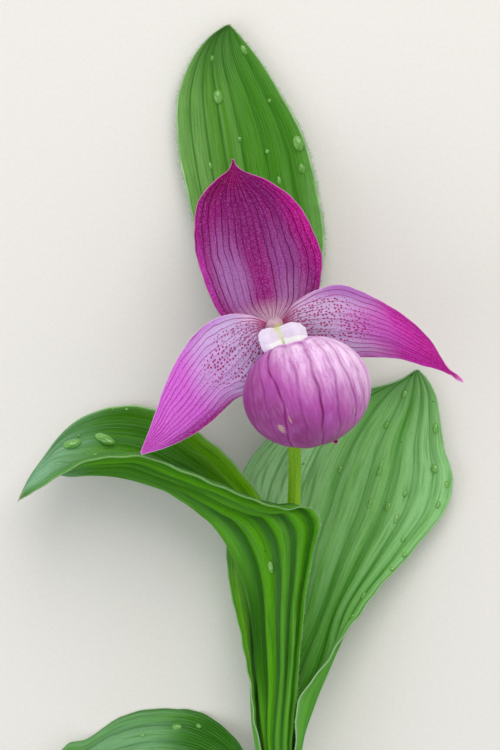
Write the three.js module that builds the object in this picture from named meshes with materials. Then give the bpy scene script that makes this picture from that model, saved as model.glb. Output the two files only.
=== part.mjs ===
// A lady's-slipper orchid (Cypripedium): one flowering shoot, cut and laid on its back.
// Millimetres. X points to the right, Y along the shoot towards the flower, Z up off the surface.
// The shoot touches the surface, z = 0, at three low spots: the floral bract, the middle leaf
// and the lower leaf. The flower faces up.
import * as THREE from 'three';

// Driving dimensions
const degrees = THREE.MathUtils.degToRad;
const leafThickness = 0.7;        // leaves and bract
const petalThickness = 0.7;       // sepals, petals and staminode
const stemRadius = 2.2;           // at the cut end
const peduncleRadius = 1.65;      // under the flower
const ovaryRadius = 1.95;
const ovaryRidge = 0.25;          // how far its three ridges stand out
const columnRadius = 2;
const columnTipShare = 0.72;      // its rounded tip is this much narrower
const pouchThickness = 0.8;       // wall of the lip
const pouchHalfWidth = 17.9;
const pouchHalfHeight = 15.4;
const pouchHalfDepth = 17.5;
const pouchSetBack = 9;           // from its middle to the hub that its ribs spread from
const pouchLean = degrees(16);    // its upright leans to the left
const pouchRibs = 18;
const pouchRibDepth = 0.45;
const mouthAngle = degrees(32);   // from the upright to the rim, seen from the hub
const mouthSkew = degrees(6);     // the rim is this much wider in front and narrower behind
const mouthTurn = degrees(20);    // and its widest place is this much left of the front
const clawSpread = degrees(24);   // width of the swelling that meets the column
const toVector = (point) => new THREE.Vector3(...point);

// ---- closed bodies -------------------------------------------------------------------------

// Joins a grid of upper points to a grid of lower points, cell for cell alike, with a wall all
// round. Each grid is rows of points.
function plate(upper, lower) {
  const rows = upper.length;
  const columns = upper[0].length;
  const positions = [...upper.flat(), ...lower.flat()].flatMap((point) => point.toArray());
  const above = (i, j) => i * columns + j;
  const below = (i, j) => rows * columns + above(i, j);
  const triangles = [];
  const quad = (a, b, c, d) => triangles.push(a, b, c, a, c, d);
  for (let i = 0; i < rows - 1; i += 1) {
    for (let j = 0; j < columns - 1; j += 1) {
      quad(above(i, j), above(i, j + 1), above(i + 1, j + 1), above(i + 1, j));
      const [a, b, c, d] = [below(i, j), below(i, j + 1), below(i + 1, j + 1), below(i + 1, j)];
      triangles.push(a, c, b, a, d, c);
    }
  }
  const wall = (a, b) => quad(above(...b), above(...a), below(...a), below(...b));
  for (let j = 0; j < columns - 1; j += 1) {
    wall([0, j], [0, j + 1]);
    wall([rows - 1, j + 1], [rows - 1, j]);
  }
  for (let i = 0; i < rows - 1; i += 1) {
    wall([i + 1, 0], [i, 0]);
    wall([i, columns - 1], [i + 1, columns - 1]);
  }
  return geometryOf(positions, triangles);
}

// Joins rings of outer points to rings of inner points, from an open rim to a closed bottom.
function cup(outer, inner) {
  const rings = outer.length;
  const sides = outer[0].length;
  const middleOf = (ring) => {
    const sum = ring.reduce((total, point) => total.add(point), new THREE.Vector3());
    return sum.divideScalar(ring.length);
  };
  const poles = [middleOf(outer.at(-1)), middleOf(inner.at(-1))];
  const points = [...outer.flat(), ...inner.flat(), ...poles];
  const outside = (i, j) => i * sides + (j % sides);
  const inside = (i, j) => rings * sides + outside(i, j);
  const triangles = [];
  for (let j = 0; j < sides; j += 1) {
    for (let i = 0; i < rings - 1; i += 1) {
      triangles.push(outside(i, j), outside(i + 1, j), outside(i + 1, j + 1));
      triangles.push(outside(i, j), outside(i + 1, j + 1), outside(i, j + 1));
      triangles.push(inside(i, j), inside(i + 1, j + 1), inside(i + 1, j));
      triangles.push(inside(i, j), inside(i, j + 1), inside(i + 1, j + 1));
    }
    triangles.push(outside(0, j), outside(0, j + 1), inside(0, j));
    triangles.push(outside(0, j + 1), inside(0, j + 1), inside(0, j));
    triangles.push(outside(rings - 1, j), points.length - 2, outside(rings - 1, j + 1));
    triangles.push(inside(rings - 1, j), inside(rings - 1, j + 1), points.length - 1);
  }
  return geometryOf(points.flatMap((point) => point.toArray()), triangles);
}

function geometryOf(positions, triangles) {
  const geometry = new THREE.BufferGeometry();
  geometry.setAttribute('position', new THREE.Float32BufferAttribute(positions, 3));
  geometry.setIndex(triangles);
  geometry.computeVertexNormals();
  return geometry;
}

// A round body along a path: ring(u, angle) is the radius at a share u of the length. Its far end
// is domed by a height in millimetres.
function rod(path, ring, steps, sides, dome = 0) {
  const curve = new THREE.CatmullRomCurve3(path.map(toVector));
  const positions = [];
  const triangles = [];
  const across = new THREE.Vector3(1, 0, 0);
  for (let i = 0; i <= steps; i += 1) {
    const u = i / steps;
    const centre = curve.getPoint(u);
    const along = curve.getTangent(u);
    const side = across.clone().addScaledVector(along, -across.dot(along)).normalize();
    const up = side.clone().cross(along);
    for (let j = 0; j < sides; j += 1) {
      const angle = (2 * Math.PI * j) / sides;
      const radius = ring(u, angle);
      const point = centre.clone();
      point.addScaledVector(side, radius * Math.cos(angle));
      point.addScaledVector(up, radius * Math.sin(angle));
      positions.push(point.x, point.y, point.z);
    }
  }
  for (let i = 0; i < steps; i += 1) {
    for (let j = 0; j < sides; j += 1) {
      const next = (j + 1) % sides;
      const [a, b] = [i * sides + j, i * sides + next];
      const [c, d] = [a + sides, b + sides];
      triangles.push(a, c, b, b, c, d);
    }
  }
  const first = positions.length / 3;
  const start = curve.getPoint(0);
  const end = curve.getPoint(1).addScaledVector(curve.getTangent(1), dome);
  positions.push(...start, ...end);
  for (let j = 0; j < sides; j += 1) {
    const next = (j + 1) % sides;
    triangles.push(first, j, next);
    triangles.push(first + 1, steps * sides + next, steps * sides + j);
  }
  return geometryOf(positions, triangles);
}

// ---- blades: leaves, bract, sepals and petals ------------------------------------------------

// A blade's cross-lines are its stations, from base to tip. Each one runs from the blade's left
// margin at t = 0, through its midrib at t = 0.5, to its right margin at t = 1.
const row = (...points) => {
  const curve = new THREE.CatmullRomCurve3(points.map(toVector));
  return (t) => curve.getPoint(t);
};

// Two halves folded along a keel, each lifted in its middle by its own height.
const fold = (left, keel, right, leftLift = 0, rightLift = 0) => {
  const middle = (a, b, lift) => [(a[0] + b[0]) / 2, (a[1] + b[1]) / 2, (a[2] + b[2]) / 2 + lift];
  return row(left, middle(left, keel, leftLift), keel, middle(keel, right, rightLift), right);
};

// An arc round a point of the stem, which its middle faces away from; slant pushes the left
// margin down the stem and the right margin up it.
const wrap = (centre, radius, facing, halfAngle, slant = 0) => (t) => {
  const angle = degrees(facing + halfAngle * (2 * t - 1));
  return new THREE.Vector3(
    centre[0] + radius * Math.cos(angle),
    centre[1] + slant * (2 * t - 1),
    centre[2] + radius * Math.sin(angle),
  );
};

// The narrow end of a blade, across which it keeps a small width.
const tip = (point, across, width = 0.8) => {
  const centre = toVector(point);
  const half = toVector(across).normalize().multiplyScalar(width / 2);
  return (t) => centre.clone().addScaledVector(half, 2 * t - 1);
};

// A smooth surface through the stations.
function surfaceThrough(stations) {
  return (u, t) => new THREE.CatmullRomCurve3(stations.map((station) => station(t))).getPoint(u);
}

// A blade of even thickness, with a number of steps between one station and the next. ribs is how
// many ridges run its length, each a valley and a crest wide, and ribDepth is how far the crests
// stand over the valleys. No point goes under z = 0.
function blade({ stations, steps, ribs, ribDepth, thickness }) {
  const surface = surfaceThrough(stations);
  const rows = steps * (stations.length - 1);
  const columns = 2 * ribs;
  const step = 0.002;
  const outer = [];
  const inner = [];
  for (let i = 0; i <= rows; i += 1) {
    const u = i / rows;
    outer.push([]);
    inner.push([]);
    for (let j = 0; j <= columns; j += 1) {
      const t = j / columns;
      const point = surface(u, t);
      const along = surface(Math.min(u + step, 1), t).sub(surface(Math.max(u - step, 0), t));
      const across = surface(u, Math.min(t + step, 1)).sub(surface(u, Math.max(t - step, 0)));
      const normal = across.cross(along).normalize();
      const fade = Math.min(1, 4 * u, 5 * (1 - u));
      const crest = (j % 2 ? 0.5 : -0.5) * ribDepth * fade;
      const top = point.clone().addScaledVector(normal, crest + thickness / 2);
      const bottom = point.clone().addScaledVector(normal, crest - thickness / 2);
      top.z = Math.max(top.z, normal.z > 0 ? thickness : 0);
      bottom.z = Math.max(bottom.z, normal.z > 0 ? 0 : thickness);
      outer[i].push(top);
      inner[i].push(bottom);
    }
  }
  return plate(outer, inner);
}

// ---- the pieces ------------------------------------------------------------------------------

const stemPath = [
  [12, -121, 19], [11.5, -98, 19.5], [11.4, -81, 20], [11.8, -67, 20], [13.1, -42, 20.5],
  [14.2, -27, 21], [15.2, -8, 22], [15, 6, 22.3], [14.6, 12.4, 22.5],
];
const ovaryPath = [
  [14.5, 13, 22.6], [13.6, 18.9, 24], [11.9, 24.5, 26], [10.2, 29.6, 28], [9.2, 32.9, 29.6],
  [9.05, 33.6, 30.9],
];
const columnPath = [[9.05, 34, 31.6], [8.9, 34.8, 35], [8.9, 35.6, 39], [9.1, 36.1, 41.4]];

function stem() {
  const radius = (u) => THREE.MathUtils.lerp(stemRadius, peduncleRadius, u);
  return rod(stemPath, radius, 16, 12);
}

function ovary() {
  const radius = (u, angle) => {
    const swell = THREE.MathUtils.lerp(peduncleRadius, ovaryRadius, Math.sin(Math.PI * u));
    return swell + ovaryRidge * Math.cos(3 * angle) * Math.sin(Math.PI * u);
  };
  return rod(ovaryPath, radius, 10, 12);
}

function column() {
  const steps = 8;
  const tipDome = 0.5;
  const radius = (u) => columnRadius * (u === 1 ? columnTipShare : 1);
  return rod(columnPath, radius, steps, 12, tipDome);
}

function floralBract() {
  return blade({
    steps: 2, ribs: 6, ribDepth: 0.35, thickness: leafThickness,
    stations: [
      wrap([14.8, 9.5, 22.4], 2.35, 270, 80),
      row([8.5, 17, 19.5], [13.8, 17, 15.5], [18.6, 17, 20]),
      row([2.1, 28.2, 12], [10, 28.2, 9.5], [19.1, 28.8, 12.5]),
      row([-5.9, 43, 8], [5.5, 43.6, 5], [22, 44.1, 9]),
      row([-11.6, 59.2, 6.5], [1.8, 60.2, 2.5], [24, 61.2, 7]),
      row([-15.6, 74.4, 5], [-0.8, 75.7, 0.5], [22.1, 73.8, 6]),
      row([-18.1, 88.1, 4], [-2.9, 90, -0.4], [18.5, 88.6, 5]),
      row([-18, 100.6, 4], [-5.2, 102.5, 0], [11.8, 101.4, 4.5]),
      row([-14.4, 110.9, 4], [-6.8, 112.1, 1.6], [5.7, 111.1, 4]),
      row([-9.9, 117.1, 4], [-5.9, 118, 3], [1.4, 116.6, 4]),
      row([-6.7, 119.8, 4.2], [-4.5, 120.3, 4], [-1.3, 119.7, 4.2]),
      tip([-3.6, 121.5, 4.6], [1, 0.1, 0]),
    ],
  });
}

function dorsalSepal() {
  return blade({
    steps: 2, ribs: 7, ribDepth: 0.3, thickness: petalThickness,
    stations: [
      row([6.4, 35.9, 31.9], [8.8, 36.6, 31.4], [11.2, 36.3, 31.9]),
      row([-0.1, 34.8, 32.5], [8.3, 39, 30.5], [16.4, 38.2, 32.5]),
      row([-5.2, 37.9, 33], [7.7, 41.6, 29.5], [20.8, 42.9, 33]),
      row([-9.1, 45.1, 34.5], [6.7, 46.9, 28], [22.6, 49.3, 35]),
      row([-12.1, 54.1, 35], [5, 54.5, 27], [22.5, 56, 36]),
      row([-13, 62.5, 34.5], [3.1, 62.7, 26.8], [19.1, 64.4, 35.5]),
      row([-11.6, 70.6, 34], [1, 70.2, 27.5], [14.4, 71.4, 34.5]),
      row([-7.4, 75.9, 33], [-0.7, 75.2, 29.5], [6.6, 76.5, 33.3]),
      row([-3.5, 79, 31.8], [-1.7, 79.1, 31.3], [0.7, 78.9, 31.8]),
      row([-2.5, 81, 32.4], [-2, 81, 32.2], [-1.3, 80.7, 32.4]),
      tip([-2.1, 82, 33.5], [1, -0.2, 0]),
    ],
  });
}

function leftPetal() {
  return blade({
    steps: 2, ribs: 6, ribDepth: 0.3, thickness: petalThickness,
    stations: [
      row([6.3, 36.8, 35.3], [6.4, 34.8, 35], [7.1, 32.6, 34.5]),
      row([2.7, 38.4, 36.5], [3.5, 33.1, 36.5], [8.2, 27.6, 34.5]),
      row([-2.4, 38.7, 37.5], [-0.1, 29.8, 38], [7.7, 21.7, 35]),
      row([-7.9, 37, 38.5], [-4.6, 25.6, 40], [4.9, 17, 36.5]),
      row([-12.4, 33.4, 39.5], [-9, 20.9, 42], [-0.7, 15.3, 39]),
      row([-16.8, 27.5, 41], [-13.2, 15.9, 44], [-6.8, 9.8, 42]),
      row([-20.1, 20.9, 43], [-17.3, 10.6, 46], [-12.3, 5.6, 44.5]),
      row([-23.1, 12.8, 45], [-21.4, 5.9, 47.5], [-18.7, 2.3, 46.5]),
      row([-25.4, 6.2, 47], [-24.7, 2.9, 48], [-23.3, 0.7, 47.8]),
      tip([-27.5, 0, 48.5], [0.5, -1, 0]),
    ],
  });
}

function rightPetal() {
  return blade({
    steps: 2, ribs: 6, ribDepth: 0.3, thickness: petalThickness,
    stations: [
      row([11.6, 33.1, 34.5], [11.4, 35.4, 35], [11.6, 37.3, 35.3]),
      row([16.9, 29.5, 35], [16, 35.9, 37], [15.5, 42.1, 36.5]),
      row([24.4, 27, 36], [22.1, 36.5, 38.5], [21.1, 45.4, 36.5]),
      row([31.1, 26.6, 37.5], [28.8, 36.4, 39.5], [27.2, 46.9, 36.5]),
      row([38.3, 26.6, 39], [36, 35, 40.5], [33.9, 45, 37]),
      row([45.2, 25.9, 40], [43, 32.3, 41], [40.5, 41.5, 38]),
      row([51, 24.2, 41], [49.1, 29.2, 41.5], [46.6, 37.6, 39]),
      row([54.9, 23.1, 42], [53.8, 26.4, 42], [51.9, 32.5, 40]),
      row([57.4, 22.1, 42.5], [56.8, 23.9, 42.5], [55.7, 26.7, 41.5]),
      row([58.7, 21.7, 43.3], [58.5, 22.5, 43], [57.9, 23.5, 43]),
      tip([61.8, 20, 45], [-0.5, 1, 0]),
    ],
  });
}

function synsepal() {
  return blade({
    steps: 2, ribs: 5, ribDepth: 0.25, thickness: petalThickness,
    stations: [
      row([10.9, 32, 32.7], [9.7, 31.7, 32.5], [8.4, 31.4, 32.7]),
      row([18, 31.2, 32.9], [12.2, 27.9, 31.5], [6.3, 24.5, 32.9]),
      row([24.2, 27, 33.4], [15.5, 22, 31.2], [6.9, 17, 33.4]),
      row([27.8, 21.4, 34], [18.9, 16.1, 31.8], [9.9, 10.9, 34]),
      row([28.9, 14.2, 34.5], [22.2, 10.2, 33], [15.5, 6.3, 34.5]),
      row([27.8, 7.9, 35.6], [24.7, 6.1, 35], [21.6, 4.2, 35.6]),
      row([27.1, 4.4, 36.6], [26.1, 3.9, 36.5], [25.1, 3.3, 36.6]),
      tip([26.9, 2.6, 37.5], [-1, -0.6, 0]),
    ],
  });
}

function staminode() {
  return blade({
    steps: 2, ribs: 5, ribDepth: 0, thickness: petalThickness,
    stations: [
      row([5.9, 34.2, 43.2], [7.9, 34.8, 44], [10, 34.9, 42.3], [13.8, 36.3, 44.2], [16.5, 36.1, 43.4]),
      row([5, 32.9, 43.9], [7.4, 32.8, 45.2], [10.8, 33.5, 43.5], [14.9, 34.6, 45.4], [17.9, 34.7, 44]),
      row([5.4, 30.6, 44.6], [7.9, 30.8, 46], [11.4, 32.1, 44.3], [15.4, 33.1, 46.2], [18.5, 33.1, 44.8]),
      row([6.6, 27.9, 45.6], [9, 28.6, 46.8], [12.1, 30.3, 45.2], [15.7, 31.1, 46.9], [18.7, 31.5, 45.6]),
      row([9.2, 26.4, 46.4], [10.4, 27, 47], [12.6, 28.3, 46.2], [15.2, 29.2, 47.2], [17, 29.8, 46.6]),
    ],
  });
}

// The lip: an egg-shaped pouch, drawn by spokes from a point behind its middle, so that its ribs
// run as meridians that close up behind it. The mouth is left open round the upright axis, and
// the wall swells at the back to meet the column.
function lipPouch() {
  const hub = toVector([18.4, 17, 44]);
  const claw = toVector([9.4, 32.8, 36]).sub(hub);
  const upright = new THREE.Vector3(-Math.sin(pouchLean), Math.cos(pouchLean), 0);
  const sideways = new THREE.Vector3(Math.cos(pouchLean), Math.sin(pouchLean), 0);
  const forward = new THREE.Vector3(0, 0, 1);
  // Length of a spoke from the hub to the ellipsoid, whose middle lies ahead of the hub.
  const reach = (direction) => {
    const a = (direction.dot(sideways) / pouchHalfWidth) ** 2
      + (direction.dot(upright) / pouchHalfHeight) ** 2
      + (direction.dot(forward) / pouchHalfDepth) ** 2;
    const b = (-2 * direction.dot(forward) * pouchSetBack) / pouchHalfDepth ** 2;
    const c = (pouchSetBack / pouchHalfDepth) ** 2 - 1;
    return (-b + Math.sqrt(b * b - 4 * a * c)) / (2 * a);
  };
  const clawDirection = claw.clone().normalize();
  const clawGrowth = claw.length() - reach(clawDirection);
  const surface = (turn, fall, depth) => {
    const direction = upright.clone().multiplyScalar(Math.cos(fall));
    direction.addScaledVector(sideways, Math.sin(fall) * Math.sin(turn));
    direction.addScaledVector(forward, Math.sin(fall) * Math.cos(turn));
    const growth = clawGrowth * Math.exp(-((direction.angleTo(clawDirection) / clawSpread) ** 2));
    return direction.multiplyScalar(reach(direction) + growth - depth).add(hub);
  };
  const bottomHole = 0.06;
  const rows = 14;
  const columns = 2 * pouchRibs;
  const outer = [];
  const inner = [];
  for (let i = 0; i <= rows; i += 1) {
    outer.push([]);
    inner.push([]);
    for (let j = 0; j < columns; j += 1) {
      const turn = (2 * Math.PI * j) / columns;
      const rim = mouthAngle + mouthSkew * Math.cos(turn + mouthTurn);
      const fall = THREE.MathUtils.lerp(rim, Math.PI - bottomHole, i / rows);
      const rib = (j % 2 ? 0 : pouchRibDepth) * Math.sin(fall);
      outer[i].push(surface(turn, fall, rib));
      inner[i].push(surface(turn, fall, rib + pouchThickness));
    }
  }
  return cup(outer, inner);
}

function upperLeaf() {
  return blade({
    steps: 1, ribs: 9, ribDepth: 0.5, thickness: leafThickness,
    stations: [
      wrap([11.6, -100, 19.5], 2.9, 180, 150),
      wrap([11.4, -92, 19.7], 3.1, 180, 150),
      wrap([11.2, -82, 20], 4.3, 180, 140),
      fold([15.9, -67, 22], [5.3, -67.1, 19.5], [14.8, -67.4, 16.2], 3.2, -0.9),
      fold([17, -52.7, 25], [2.8, -53, 19.5], [14, -53.3, 14.8], 2.8, -1),
      fold([18.4, -39.1, 28], [0.1, -39.5, 19.5], [12.3, -39.7, 13], 2.4, -1.2),
      fold([20.8, -26.7, 31], [-4.1, -27.6, 20], [10.6, -25.1, 11.5], 2, -1.5),
      fold([22.4, -19.9, 33], [-8, -20.6, 20.4], [8.3, -17.2, 10.8], 1.7, -1.5),
      fold([21.1, -16.3, 34.2], [-11.4, -16.9, 20.8], [6.1, -13.2, 9.8], 1.5, -1.5),
      fold([16.9, -14.4, 35.4], [-14.8, -13.8, 21.2], [2.9, -8.7, 8.8], 1.5, -1.5),
      fold([11.3, -15.4, 36.4], [-18.2, -11.5, 21.6], [-1, -3.9, 7.6], 1.5, -1.5),
      fold([4.9, -13.4, 37.6], [-21.3, -9.5, 21.8], [-4.2, -0.5, 6.8], 1.2, -1.5),
      fold([-4.3, -9.2, 39], [-25.5, -7.9, 22.2], [-8.2, 2.6, 6], 1, -1.5),
      fold([-15.1, -5.4, 41], [-30.8, -6.3, 22.6], [-15.6, 8.6, 4.5], 0.5, -1.5),
      fold([-25.1, -0.5, 42], [-36.7, -5.4, 23], [-24.4, 12.2, 3.5], 0, -1.5),
      fold([-34.6, -1, 40], [-42.6, -5.3, 23], [-33.8, 13.2, 3.5], 0, -1.5),
      fold([-43, -2.1, 37], [-48.6, -5.9, 22.5], [-42.3, 11.2, 5.5], 0, -1),
      fold([-49.3, -5.4, 33.5], [-52.8, -5.2, 22], [-49.6, 6.4, 9.5], 0, -1),
      fold([-55.3, -9.4, 30], [-57, -7.5, 23.5], [-55, -0.5, 15.5]),
      fold([-59.6, -12, 27.5], [-60.3, -10.3, 25], [-59.3, -7, 21.5]),
      tip([-62.5, -13.8, 26], [0, -0.6, 1]),
    ],
  });
}

function middleLeaf() {
  return blade({
    steps: 2, ribs: 10, ribDepth: 0.5, thickness: leafThickness,
    stations: [
      wrap([11.8, -108, 19.2], 4.1, 275, 150),
      wrap([11.5, -98, 19.5], 4.2, 275, 145),
      wrap([10.8, -84, 19.7], 6, 275, 130),
      row([3.3, -70, 21], [4.4, -70.6, 13.8], [12.3, -71.3, 10.5], [20.8, -70, 15.5], [16.7, -69, 25.8]),
      row([1.5, -58, 18.5], [6.1, -59.1, 11.8], [16.3, -61, 9], [25.6, -58.4, 13.5], [25.5, -57, 20.5]),
      row([-0.9, -42.6, 14], [22.4, -47.1, 6], [35.8, -42.8, 14.5]),
      row([-3.3, -27.4, 10], [28, -31.6, 3.5], [48.1, -29.1, 9]),
      row([-1.2, -13, 8], [33.3, -18.2, 1.5], [58.4, -16.4, 6]),
      row([1.5, -4.2, 7], [37, -6.6, 0.2], [60.5, -7.9, 4.5]),
      row([8.9, 4.9, 6.5], [40.5, 3.7, -0.4], [58.2, 0.3, 4]),
      row([20.3, 13.4, 5.5], [44.6, 12.3, 0.2], [56.9, 8.9, 3.5]),
      row([33.4, 17.1, 5], [46.9, 18, 1.2], [55.7, 15.7, 3.5]),
      row([44.8, 20, 4], [48.6, 21.4, 2.5], [53.1, 20.8, 3.8]),
      tip([50.2, 23.3, 4], [1, 0.1, 0]),
    ],
  });
}

function lowerLeaf() {
  return blade({
    steps: 2, ribs: 8, ribDepth: 0.4, thickness: leafThickness,
    stations: [
      wrap([12, -119, 19.1], 5.1, 180, 155),
      wrap([11.8, -112, 19.2], 5.2, 180, 150),
      wrap([10.5, -104, 19.3], 7, 180, 120, 3),
      fold([6, -110.3, 25], [1.2, -101.7, 17], [4.4, -92.2, 12]),
      fold([-4.4, -113.8, 27], [-8.1, -94.4, 13], [-0.8, -82.4, 7]),
      fold([-17, -114.9, 27], [-20, -91.8, 10], [-10.2, -75.1, 1], 0, -1),
      fold([-29.6, -112.6, 25], [-32, -92.7, 9], [-21.6, -73.4, -2.5], 0, -1.5),
      fold([-40.1, -107.8, 22], [-41.3, -95.5, 10], [-33.9, -75.7, -2], 0, -1.5),
      fold([-47.6, -102.5, 18], [-48.4, -96.5, 11], [-44.1, -82.1, 2.5], 0, -1),
      fold([-51.9, -99.1, 15], [-52.6, -94.8, 11], [-49.4, -83.3, 5]),
      tip([-55.8, -94.3, 11], [0.3, 1, 0]),
    ],
  });
}

// ---- the shoot -------------------------------------------------------------------------------

const pieces = [
  ['stem', stem, '#7f9c3a', 0.5],
  ['ovary', ovary, '#7d9440', 0.55],
  ['floral_bract', floralBract, '#6f9f4c', 0.55],
  ['dorsal_sepal', dorsalSepal, '#a3338f', 0.5],
  ['petal_left', leftPetal, '#b35fa8', 0.5],
  ['petal_right', rightPetal, '#b04aa0', 0.5],
  ['synsepal', synsepal, '#7c2a5e', 0.5],
  ['lip_pouch', lipPouch, '#c67cc9', 0.42],
  ['column', column, '#cbb7a8', 0.5],
  ['staminode', staminode, '#f3ecf4', 0.45],
  ['leaf_upper', upperLeaf, '#4c8a2c', 0.45],
  ['leaf_middle', middleLeaf, '#67a05a', 0.5],
  ['leaf_lower', lowerLeaf, '#4f8f3c', 0.4],
];

const shoot = new THREE.Group();
for (const [name, geometry, color, roughness] of pieces) {
  const material = new THREE.MeshStandardMaterial({ color, roughness, metalness: 0 });
  const mesh = new THREE.Mesh(geometry(), material);
  mesh.name = name;
  shoot.add(mesh);
}

export default shoot;
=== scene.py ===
import math

import bpy
import numpy as np
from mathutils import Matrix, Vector

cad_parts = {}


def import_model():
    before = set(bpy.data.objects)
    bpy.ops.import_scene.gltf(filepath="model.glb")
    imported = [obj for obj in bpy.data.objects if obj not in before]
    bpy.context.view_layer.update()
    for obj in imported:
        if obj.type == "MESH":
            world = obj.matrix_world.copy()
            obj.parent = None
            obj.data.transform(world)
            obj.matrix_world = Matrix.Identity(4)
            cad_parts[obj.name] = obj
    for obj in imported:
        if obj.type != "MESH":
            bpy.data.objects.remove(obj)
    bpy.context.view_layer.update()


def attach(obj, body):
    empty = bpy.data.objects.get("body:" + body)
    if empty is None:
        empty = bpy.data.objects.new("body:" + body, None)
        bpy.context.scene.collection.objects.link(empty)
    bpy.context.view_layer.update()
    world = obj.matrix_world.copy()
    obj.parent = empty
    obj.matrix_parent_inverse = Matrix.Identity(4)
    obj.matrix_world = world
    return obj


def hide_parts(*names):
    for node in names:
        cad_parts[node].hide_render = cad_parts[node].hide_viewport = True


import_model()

MM = 0.001                    # metres in a millimetre
TURN = 2 * math.pi
draw = np.random.default_rng(17)

# Driving dimensions, in millimetres
LEAF_THICKNESS = 0.5
PETAL_THICKNESS = 0.42
SHIELD_THICKNESS = 0.7
POUCH_WALL = 0.6
POUCH_HALF_WIDTH = 17.9
POUCH_HALF_HEIGHT = 15.4
POUCH_HALF_DEPTH = 17.5
POUCH_SET_BACK = 9            # from its middle to the hub that its veins spread from
POUCH_LEAN = math.radians(16)
MOUTH_ANGLE = math.radians(35)
MOUTH_SKEW = math.radians(6)
MOUTH_TURN = math.radians(20)
CLAW_SPREAD = math.radians(24)
RIM_ROLL = 1.1                # radius of the rolled rim of the mouth
POUCH_SPOKE = 18              # a middling spoke, which turns an angle into a way along the wall
COLUMN_CHEEK = (10.5, 34.9, 41.8)
CAMERA_HEIGHT = 1530
CAMERA_X = 2.66
CAMERA_Y = 21.7
CAMERA_LENS = 257.14


# ---- curves and grids ------------------------------------------------------------------------

def smooth_curve(points, shares):
    """Points at shares of the way along a curve that passes evenly through the given ones."""
    points = np.asarray(points, float)
    before_first = 2 * points[:1] - points[1:2]
    after_last = 2 * points[-1:] - points[-2:-1]
    padded = np.concatenate([before_first, points, after_last])
    place = np.clip(shares, 0, 1) * (len(points) - 1)
    index = np.minimum(place.astype(int), len(points) - 2)
    weight = (place - index).reshape(-1, *[1] * (points.ndim - 1))
    a, b, c, d = (padded[index + k] for k in range(4))
    first, middle, last = (
        np.sqrt(np.maximum(np.linalg.norm(q - p, axis=-1, keepdims=True), 1e-6))
        for p, q in ((a, b), (b, c), (c, d))
    )
    leave = ((b - a) / first - (c - a) / (first + middle) + (c - b) / middle) * middle
    arrive = ((c - b) / middle - (d - b) / (middle + last) + (d - c) / last) * middle
    curve = b + leave * weight
    curve += (3 * (c - b) - 2 * leave - arrive) * weight ** 2
    return curve + (2 * (b - c) + leave + arrive) * weight ** 3


def even_shares(points, steps):
    """Shares of a smooth curve that are the same distance apart along it."""
    fine = np.linspace(0, 1, 600)
    path = smooth_curve(points, fine)
    length = np.concatenate([[0], np.cumsum(np.linalg.norm(np.diff(path, axis=0), axis=1))])
    return np.interp(steps, length / length[-1], fine)


def unit(vectors):
    """The same directions, each of length 1."""
    return vectors / np.maximum(np.linalg.norm(vectors, axis=-1, keepdims=True), 1e-12)


def quads(index):
    """The four-sided faces between the rows of a grid of point numbers."""
    corners = [index[:-1, :-1], index[:-1, 1:], index[1:, 1:], index[1:, :-1]]
    return np.stack(corners, axis=-1).reshape(-1, 4)


def ringed(index):
    """The same grid with its first column repeated after its last, so that it closes."""
    return np.concatenate([index, index[:, :1]], axis=1)


def piece(name, points, faces, finish, node=None, slot=None, measures=None):
    """A mesh that rides on the shoot, and stands for a node where it has one."""
    mesh = bpy.data.meshes.new(name)
    mesh.from_pydata((points * MM).tolist(), [], faces)
    for label, values in (measures or {}).items():
        flat = np.ascontiguousarray(values, np.float32).ravel()
        mesh.attributes.new(label, "FLOAT_VECTOR", "POINT").data.foreach_set("vector", flat)
    mesh.polygons.foreach_set("use_smooth", np.ones(len(mesh.polygons), bool))
    mesh.materials.append(finish)
    made = bpy.data.objects.new(name, mesh)
    bpy.context.scene.collection.objects.link(made)
    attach(made, "root")
    if node:
        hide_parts(node)
    return made


# ---- blades: leaves, bract, sepals and petals ------------------------------------------------

# A blade's cross-lines are its stations, from base to tip. Each one gives points at shares t from
# the blade's left margin, 0, through its midrib, 0.5, to its right margin, 1.
def row(*points):
    """A smooth line through points from margin to margin."""
    return lambda t: smooth_curve(points, t)


def fold(left, keel, right, left_lift=0, right_lift=0):
    """Two halves folded along a keel, each lifted in its middle by its own height."""
    left, keel, right = (np.array(point, float) for point in (left, keel, right))
    up = np.array([0, 0, 1])
    left_middle = (left + keel) / 2 + left_lift * up
    right_middle = (keel + right) / 2 + right_lift * up
    return row(left, left_middle, keel, right_middle, right)


def wrap(centre, radius, facing, half_angle, slant=0):
    """An arc round the stem, its middle facing away from it at an angle in degrees."""
    def line(t):
        angle = np.radians(facing + half_angle * (2 * t - 1))
        offset = [radius * np.cos(angle), slant * (2 * t - 1), radius * np.sin(angle)]
        return np.array(centre) + np.stack(offset, axis=-1)
    return line


def tip(point, across, width=0.8):
    """The narrow end of a blade."""
    half = unit(np.array(across, float)) * width / 2
    return lambda t: np.array(point) + (2 * t - 1)[:, None] * half


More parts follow.
